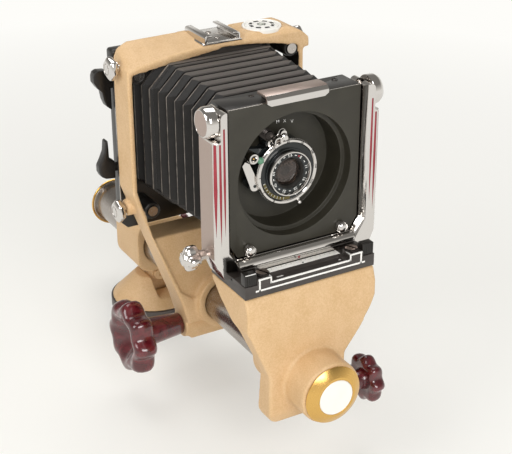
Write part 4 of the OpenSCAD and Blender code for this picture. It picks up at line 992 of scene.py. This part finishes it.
for side, word in SIDES:
    head = lobed([(1, 0, 3.6), (4.1, 0, 3.6), (5.4, 0, 3.3), (6.1, 0.18, 2.6), (6.1, 0.18, 1),
                  (5.6, 0, 0.5), (3.4, 0, 0.4), (3.2, 0, 0.15), (1, 0, 0.15)], 28,
                 (side * SCREW_X, SCREW_Y, EAR_TOP), "z", 6)
    slot_cut = bar((side * SCREW_X - 0.8, -28, EAR_TOP + 2.6),
                   (side * SCREW_X + 0.8, -14, EAR_TOP + 7), 0)
    slot_cut.transform(Matrix.Translation((side * SCREW_X, SCREW_Y, 0)) @ spun(25, "Z")
                       @ Matrix.Translation((-side * SCREW_X, -SCREW_Y, 0)))
    head = carved(head, slot_cut)
    # The flat tops of the heads get a paler pinkish steel than their sides.
    top = split_paint(head, lambda f: f.normal.z > 0.9 and f.calc_center_median().z > EAR_TOP + 3)
    stem = turned([(0, -8), (2.5, -8), (2.5, 0.3), (0, 0.3)], (side * SCREW_X, SCREW_Y, EAR_TOP),
                  "z", 32)
    piece(f"{word}_capstan_screw", f"{word}_shift_lock", [(head, dark_steel), (top, pale_top_steel),
          (stem, dark_steel)], [f"{word}_clamp_screw"], 24)
print("swing table with", len(lines), "painted lines")

# %% [markdown]
# ## Latch, studs and frame of the board
# A folded steel slide, chromed, hooks over the board; its top gets the pinkish satin metal
# and its front faces polished chrome. Two turned studs with round heads hold its lower edge.
# The frame behind is pressed steel, and two slotted screws sit in its top.

# %% Latch, studs and lens frame
profile = [(-3.5, 253.9), (-0.6, 253.9), (-0.6, 260.9), (14, 260.9), (14, 263.3), (0.6, 263.4),
           (-1.2, 262.6), (-3.5, 259.6)]
latch = sawn(profile, -30, 30, "x", 0.25)
end_cuts = [sawn([(side * 31, 252.9), (side * 31, 257.2), (side * 24.5, 252.9)], -4, -0.4)
            for side in (-1, 1)]
latch = carved(latch, *end_cuts)
latch_front = split_paint(latch, lambda f: f.normal.y < -0.45)
grip = copies(bar((-0.35, 2.5, 263.2), (0.35, 11.5, 263.5), 0.1),
              [Matrix.Translation((-9 + 2 * i, 0, 0)) for i in range(10)])
tongue = bar((-26, 3.5, 256.7), (26, 13.9, 261), 0.2)
pins = [turned([(0, 248.9), (2, 248.9), (2, 257), (0, 257)], (side * 20, 9, 0), "z", 24)
        for side in (-1, 1)]
piece("board_latch_dressed", "latch", [(latch, pinkish_satin), (latch_front, chrome),
      (grip, pinkish_satin), (tongue, satin_chrome), *((pin, satin_chrome) for pin in pins)],
      ["board_latch"])
studs = []
for side in (-1, 1):
    head = turned([(0, -7.4), (2.4, -7.2), (4.2, -6.4), (5.3, -5), (5.6, -3.4), (5.6, -0.9),
                   (5.2, -0.3), (1.8, -0.2), (1.8, 11), (0, 11)],
                  (side * 46.8, 0, 126.4), steps=48)
    studs.append((head, chrome))
piece("board_studs_turned", "lens_stage", studs, ["board_studs"])
holder = solid_copy("lens_frame", 0.5, 2, 40, 2.0)
screws = []
for x in (-31, 52):
    screw = turned([(0, 256.7), (2.4, 256.7), (2.9, 256.4), (2.9, 255.5), (0, 255.5)], (x, 22, 0),
                   "z", 28)
    cut = bar((x - 3.2, 21.6, 256.35), (x + 3.2, 22.4, 257), 0)
    screws.append((carved(screw, cut), dark_steel))
piece("lens_frame_dressed", "lens_stage", [(holder, black_enamel), *screws], ["lens_frame"],
      30)
print("latch, studs and lens frame")

# %% [markdown]
# ## Handwheels and clamp knobs
# The wheels are pressed bakelite. Each is a bowl whose thick rim swells into eight round
# lobes, and its long hub hides the shaft. It grows ring by ring, and the swell fades
# inwards. The knobs on the rear frame are chromed castings with six soft flats, which a
# lathe that turns in six steps gives.

# %% Handwheels and knobs


def handwheel(name, node, body, place, r, hub, flip):
    """A bowl with lobes on its rim, and a hub from the wheel to the shaft's boss"""
    bowl = [(0.05, 0, 0.10), (0.12, 0, 0.09), (0.2, 0, 0.1), (0.26, 0, 0.14), (0.33, 0.002, 0.2),
            (0.42, 0.012, 0.3), (0.52, 0.022, 0.4), (0.60, 0.032, 0.47), (0.67, 0.042, 0.50),
            (0.74, 0.052, 0.50), (0.81, 0.066, 0.46), (0.865, 0.08, 0.37), (0.895, 0.09, 0.24),
            (0.905, 0.092, 0.1), (0.895, 0.088, -0.03), (0.85, 0.075, -0.13),
            (0.78, 0.06, -0.19), (0.68, 0.04, -0.21), (0.56, 0.018, -0.19), (0.46, 0, -0.15),
            (0.40, 0, -0.13), (0.3, 0, -0.13)]
    shape = lobed([(a * r, b * r, c * r * 0.86) for a, b, c in bowl], 8, (0, 0, 0))
    stem = turned(hub, (0, 0, 0), "x", 56)
    parts = []
    for one in (shape, stem):
        if flip:
            one.transform(spun(180, "Z"))
        one.transform(Matrix.Translation(place))
        parts.append((one, bakelite))
    piece(name, body, parts, [node], 60)


DRIVE_Z = -28
handwheel("rear_handwheel_moulded", "rear_handwheel", "rear_drive", (-87.1, 157, DRIVE_Z), 39,
          [(4, 4), (14.6, 4), (15.3, 2.4), (15.4, -3), (14.9, -5.4), (14.6, -8),
           (11.2, -46.4), (10.4, -47.4), (4, -47.4)], True)
handwheel("front_handwheel_moulded", "front_handwheel", "front_drive", (64, -22, DRIVE_Z), 24,
          [(4, 2), (10, 2), (10.4, 0.6), (10.2, -3.4), (9.4, -5), (9.2, -6.5), (7.8, -28.4),
           (7.2, -29.3), (4, -29.3)], False)


def clamp_star(name, node, body, side, z, wall):
    """A chromed knob with six flats on a round collar, its edges dressed round"""
    drum = turned([(0, 7.6), (7.8, 7.6), (11.4, 5.4), (11.6, 1.6), (9.8, -0.6), (0, -0.6)],
                  axis="x", steps=6)
    drum.transform(spun(12, "X"))
    rounded(drum, 1.3, 4, 20)
    collar = turned([(0, 0.2), (6.4, 0.2), (6.4, -2.2), (5.9, -2.6), (2.5, -2.6), (2.5, wall[1]),
                     (0, wall[1])], axis="x", steps=48)
    dish = turned([(0, 7.2), (4.6, 7.6), (4.9, 7.95), (5.3, 7.95), (5.5, 7.5), (0, 6.8)],
                  axis="x", steps=40)
    parts = []
    for shape, metal in ((drum, chrome), (collar, chrome), (dish, satin_chrome)):
        if side < 0:
            shape.transform(spun(180, "Z"))
        shape.transform(Matrix.Translation((side * (wall[0] + 2.9), 160, z)))
        parts.append((shape, metal))
    piece(name, body, parts, [node], 40)


for height, z, inner in (("upper", 251.5, -10), ("lower", 110, -18)):
    for side, word in SIDES:
        clamp_star(f"{height}_{word}_clamp_star", f"{height}_{word}_rod_knob",
                   f"{height}_{word}_rod_lock", side, z, (92, inner))
print("two wheels and four clamp knobs")

# %% [markdown]
# ## Shoe and round level
# The shoe is folded from chromed steel, with two lips that hold the foot of a viewfinder.
# The level is a white cup filled with milk-white enamel, with eight short dark marks round
# it. Its bubble is a bead of glass, and the glass cover over them is left out.

# %% Shoe and level
SHOE_X, REAR_Y = 4.5, 137
lip = [(-20.5, 265.5), (20.5, 265.5), (20.5, 266.4), (18.4, 266.9), (18.4, 271.9), (17.6, 273.2),
       (16.2, 273.9), (11.8, 273.9), (11.2, 273.4), (11.2, 272.6), (11.8, 272.1), (15.4, 272.1),
       (15.8, 271.7), (15.8, 268.4), (15.2, 267.9)]
outline = lip + [(-x, z) for x, z in reversed(lip[2:])]
shoe = sawn([(x + SHOE_X, z) for x, z in outline], REAR_Y + 0.2, REAR_Y + 40.8, "y", 0.15)
screw_heads = []
for y in (148, 166):
    screw = turned([(0, 268.6), (2.3, 268.6), (2.8, 268.2), (2.8, 267.6), (0, 267.6)],
                   (SHOE_X, y, 0), "z", 28)
    cut = bar((SHOE_X - 3, y - 0.35, 268.3), (SHOE_X + 3, y + 0.35, 269), 0)
    screw_heads.append((carved(screw, cut), satin_chrome))
piece("accessory_shoe_folded", "rear_carriage", [(shoe, chrome), *screw_heads],
      ["accessory_shoe"], 30)
LEVEL = (58.5, 159.5, 0)
cup = turned([(0, 264), (19, 264), (19, 268.4), (18.6, 269), (17.4, 269.2), (16.6, 268.9),
              (16.2, 268.4), (16, 267.4), (0, 267.0)], LEVEL, "z")
level_parts = [(cup, white_enamel)]
for i in range(8):
    mark = bar((-2.3, 9.4, 268.6), (2.3, 12.2, 269.34), 0.1)
    mark.transform(Matrix.Translation(LEVEL) @ spun(45 * i, "Z"))
    level_parts.append((mark, black_enamel))
milk = turned([(0, 267.2), (15.7, 267.2), (15.7, 268.5), (9, 269.15), (0, 269.3)], LEVEL, "z")
level_parts.append((milk, white_enamel))
piece("round_level_cup", "rear_carriage", level_parts, ["level_cup"])
bubble = turned([(0, 269.2), (3.4, 269.3), (4.3, 269.5), (3.2, 269.9), (0, 270.1)], LEVEL, "z",
                steps=36)
piece("round_level_glass", "rear_carriage", [(bubble, clear_glass)], ["level_glass"])
print("shoe and level")

# %% [markdown]
# ## The film back
# The back is a black enamelled frame with raised corner blocks and two hooked catches. The
# ground glass lies in a sprung frame with a ruled grid, held by two leaf springs. Each
# catch turns on a small hub, and its inner edge stays clear of the frame as it turns.

# %% Film back
WINDOW = 61


def ring_plate(low, high, y0, y1, hole, round_by, corner=6.0):
    """A flat frame with cut corners round a square hole"""
    (x0, z0), (x1, z1) = low, high
    plate = sawn([(x0 + corner, z0), (x1 - corner, z0), (x1, z0 + corner), (x1, z1 - corner),
                  (x1 - corner, z1), (x0 + corner, z1), (x0, z1 - corner), (x0, z0 + corner)],
                 y0, y1)
    cutter = bar((-hole, y0 - 5, BOARD_MID - hole), (hole, y1 + 5, BOARD_MID + hole), 0)
    return rounded(carved(plate, cutter), round_by, 3, 30, 1.5)


flange = ring_plate((-86, 79), (86, 253), 182, 186.5, WINDOW, 1.2)
body = ring_plate((-84, 79), (84, 246), 186, 200, WINDOW, 1.6)
corners = [bar((side * 78.5 - 8.5, 182.5, 238), (side * 78.5 + 8.5, 196, 260.5), 3, 4)
           for side in (-1, 1)]
piece("film_back_frame", "back", [(flange, black_enamel), (body, black_enamel),
      *((c, black_enamel) for c in corners)], ["back_frame"], 30)
strips = [bar((side * 86.2 - 0.5, 180.9, 96), (side * 86.2 + 0.5, 182.4, 236), 0.2)
          for side in (-1, 1)]
piece("film_back_strips", "back", [(strip, satin_chrome) for strip in strips], ())
UPPER_HOOK = [(-87.4, 238.5), (-92, 240.4), (-99, 241.2), (-102.6, 239.6), (-103.9, 236),
              (-103.9, 230), (-100.7, 224.8), (-96.2, 219.5), (-95, 212), (-92.5, 205.5),
              (-88.5, 202), (-87.4, 202)]
LOWER_HOOK = [(-87.4, 131.2), (-97.5, 132.4), (-101.8, 135.2), (-103.9, 140), (-103.9, 146.5),
              (-100.5, 152.5), (-97.2, 160), (-96, 170.6), (-93.6, 171.4), (-93.2, 165),
              (-93, 153), (-87.4, 149)]
for word, hook, z in (("upper", UPPER_HOOK, 226), ("lower", LOWER_HOOK, 142)):
    shape = sawn(hook, 187.4, 196.6, "y", 2.2, 4)
    hub = turned([(0, -88.6), (4.3, -88.6), (4.3, -83.7), (0, -83.7)], (0, 191, z), "x", 40)
    piece(f"{word}_back_catch_carved", f"{word}_catch",
          [(shape, black_enamel), (hub, black_enamel)], [f"{word}_back_catch"], 40)
# The glass frame's front face, and half sizes of the glass, its ruled grid and its squares
BACK_Y, GLASS_HALF, RULE_HALF, RULE_STEP = 200.3, 63.8, 60, 11
holder = ring_plate((-80, 104.7), (80, 252), BACK_Y, BACK_Y + 8, WINDOW - 1, 1.2)
springs = []
for spring_x in (-71, 71):
    strip = bar((spring_x - 4, BACK_Y + 7.8, 118), (spring_x + 4, BACK_Y + 8.8, 238), 0.3)
    springs.append((strip, satin_chrome))
    for z in (124, 232):
        rivet = turned([(0, BACK_Y + 9.8), (1.6, BACK_Y + 9.7), (2.6, BACK_Y + 8.8),
                        (0, BACK_Y + 8.6)], (spring_x, 0, z), steps=24)
        springs.append((rivet, chrome))
piece("ground_glass_frame", "glass_back", [(holder, black_enamel), *springs], ["glass_frame"],
      30)
screen = bar((-GLASS_HALF, BACK_Y + 0.8, BOARD_MID - GLASS_HALF),
             (GLASS_HALF, BACK_Y + 2.9, BOARD_MID + GLASS_HALF), 0.2)
near, far = BACK_Y + 2.85, BACK_Y + 2.95
grid = []
for i in range(-5, 6):
    x, z = i * RULE_STEP, BOARD_MID + i * RULE_STEP
    upright = bar((x - 0.12, near, BOARD_MID - RULE_HALF), (x + 0.12, far, BOARD_MID + RULE_HALF),
                  0)
    across = bar((-RULE_HALF, near, z - 0.12), (RULE_HALF, far, z + 0.12), 0)
    grid += [(upright, dark_steel), (across, dark_steel)]
piece("ground_glass_screen", "glass_back", [(screen, ground_glass), *grid], ["ground_glass"])
print("film back with its catches and screen")

# %% [markdown]
# ## The rail's caps
# Each end of the tube is closed by a turned brass cone under lacquer, with a white disc let
# into it. The disc is left bare here. A bright collar fills the step behind the cone.

# %% Rail caps
for end, y, way in (("front", -65.5, -1), ("rear", 406, 1)):
    cone = turned([(19.4, way * -4.9), (19.4, 0), (25.6, 0), (27.3, way * -0.2), (27.9, way * 0.5),
                   (28, way * 1.1), (27.4, way * 1.6), (19.9, way * 6.3), (19.3, way * 6.5),
                   (17.3, way * 6.5), (17.1, way * 6.2), (17.1, way * 4), (0, way * 4),
                   (0, way * -4.9)], (0, y, 0), steps=96)
    disc = turned([(0, way * 4), (17, way * 4), (17, way * 6.3), (16.4, way * 6.8),
                   (0, way * 6.9)], (0, y, 0), steps=96)
    collar = turned([(22.6, 0.02 * way), (22.6, way * -0.5), (25.2, way * -0.5), (25.7, 0.02 * way)],
                    (0, y, 0), steps=96, closed=True)
    caps = (["cap_rings"], ["cap_discs"]) if end == "front" else ((), ())
    piece(f"{end}_cap_cone", "rail", [(cone, lacquered_brass)], caps[0])
    piece(f"{end}_cap_disc", "rail", [(disc, white_enamel)], caps[1])
    piece(f"{end}_cap_collar", "rail", [(collar, satin_chrome)], ())
print("two caps")

# %% [markdown]
# ## Plain solids
# Many solids already have the real shape, because they were turned or sawn: these keep
# their mesh and only get their finish.


# %% Finishes for plain solids
def finish_solid(node, material):
    nodes[node].data.materials.clear()
    nodes[node].data.materials.append(material)


PLAIN = {
    grey_enamel: ["foot", "pan_disc"],
    sand_enamel: ["side_pin"],
    lacquered_brass: ["thread_bush", "rail_rack", "lock_ring"],
    chrome: ["pan_lock_screw", "tilt_pin"],
    satin_chrome: ["swing_pivot", "shift_slide", "rise_rails", "back_rods"],
    ground_steel: ["rail_tube", "front_pinion", "rear_pinion"],
    black_enamel: ["rear_cell"],
    bakelite: ["tilt_lever", "clamp_knob"],
}
for material, names in PLAIN.items():
    for node in names:
        finish_solid(node, material)
print("finished", sum(len(names) for names in PLAIN.values()), "solids")

# %% [markdown]
# ## Light and floor
# A wide pale floor and three soft lamps, as in a product photographer's studio. The world
# is pale at the horizon and greyer overhead, so polished metal and black enamel get a
# gradient to reflect, which a plain white world would not give them. Near the camera the
# floor keeps its shadow, lightened by a painted glow of about a third, and further out it
# fades into plain white paper for the camera, for metal and for glass.

# %% Floor, lamps and world
FLOOR_SIZE = 14
SHADOW_R, PAPER_R = 0.2, 1.2
bpy.ops.mesh.primitive_plane_add(size=FLOOR_SIZE, location=(0, 0, cad_box[0][2]))
floor = bpy.context.object
floor.name = "floor"
paper, tree, shader = start_material("pale_paper", "#F7F6F1", Roughness=0.8)
place = add(tree, "ShaderNodeTexCoord").outputs["Object"]
far = add(tree, "ShaderNodeVectorMath", {}, {0: place}, operation="LENGTH").outputs["Value"]
# Near the object the glow stays at 0.35, a painted light that lightens the floor's shadow.
fade = add(tree, "ShaderNodeMapRange", {"From Min": SHADOW_R, "From Max": PAPER_R,
           "To Min": 0.35}, {"Value": far})
path = add(tree, "ShaderNodeLightPath")
seen = add(tree, "ShaderNodeMath", {}, {0: path.outputs["Is Camera Ray"],
           1: path.outputs["Is Glossy Ray"]}, operation="MAXIMUM")
seen = add(tree, "ShaderNodeMath", {}, {0: seen.outputs[0],
           1: path.outputs["Is Transmission Ray"]}, operation="MAXIMUM")
share = add(tree, "ShaderNodeMath", {}, {0: seen.outputs[0], 1: fade.outputs[0]},
            operation="MULTIPLY")
glow = add(tree, "ShaderNodeEmission", {"Color": linear("#FEFDF9"), "Strength": 1.0})
both = add(tree, "ShaderNodeMixShader", {}, {"Fac": share.outputs[0], 1: shader.outputs[0],
           2: glow.outputs[0]})
tree.links.new(both.outputs[0], tree.nodes["Material Output"].inputs["Surface"])
floor.data.materials.append(paper)

world = bpy.data.worlds.new("tent")
bpy.context.scene.world = world
world.use_nodes = True
tree = world.node_tree
sky = tree.nodes["Background"]
direction = add(tree, "ShaderNodeTexCoord").outputs["Generated"]
height = add(tree, "ShaderNodeSeparateXYZ", {}, {"Vector": direction}).outputs["Z"]
shade = blend_colours(tree, "#F4F2EC", "#8A8884", height, 0.0, 0.5)
tree.links.new(shade, sky.inputs["Color"])
sky.inputs["Strength"].default_value = 0.95


def lamp(name, place, size, power, target=(0, -0.15, 0.15)):
    light = bpy.data.lights.new(name, "AREA")
    light.shape = "RECTANGLE"
    light.size, light.size_y = size
    light.energy = power
    obj = bpy.data.objects.new(name, light)
    bpy.context.scene.collection.objects.link(obj)
    obj.location = place
    obj.rotation_euler = (Vector(target) - Vector(place)).to_track_quat("-Z", "Y").to_euler()


lamp("key", (-0.35, -1.85, 1.1), (1.0, 0.8), 20.5)
lamp("side", (-1.5, -0.4, 1.2), (0.8, 0.8), 10)
lamp("top", (0.1, 0.3, 1.8), (1.4, 1.0), 13)
bpy.context.scene.view_settings.view_transform = "Standard"
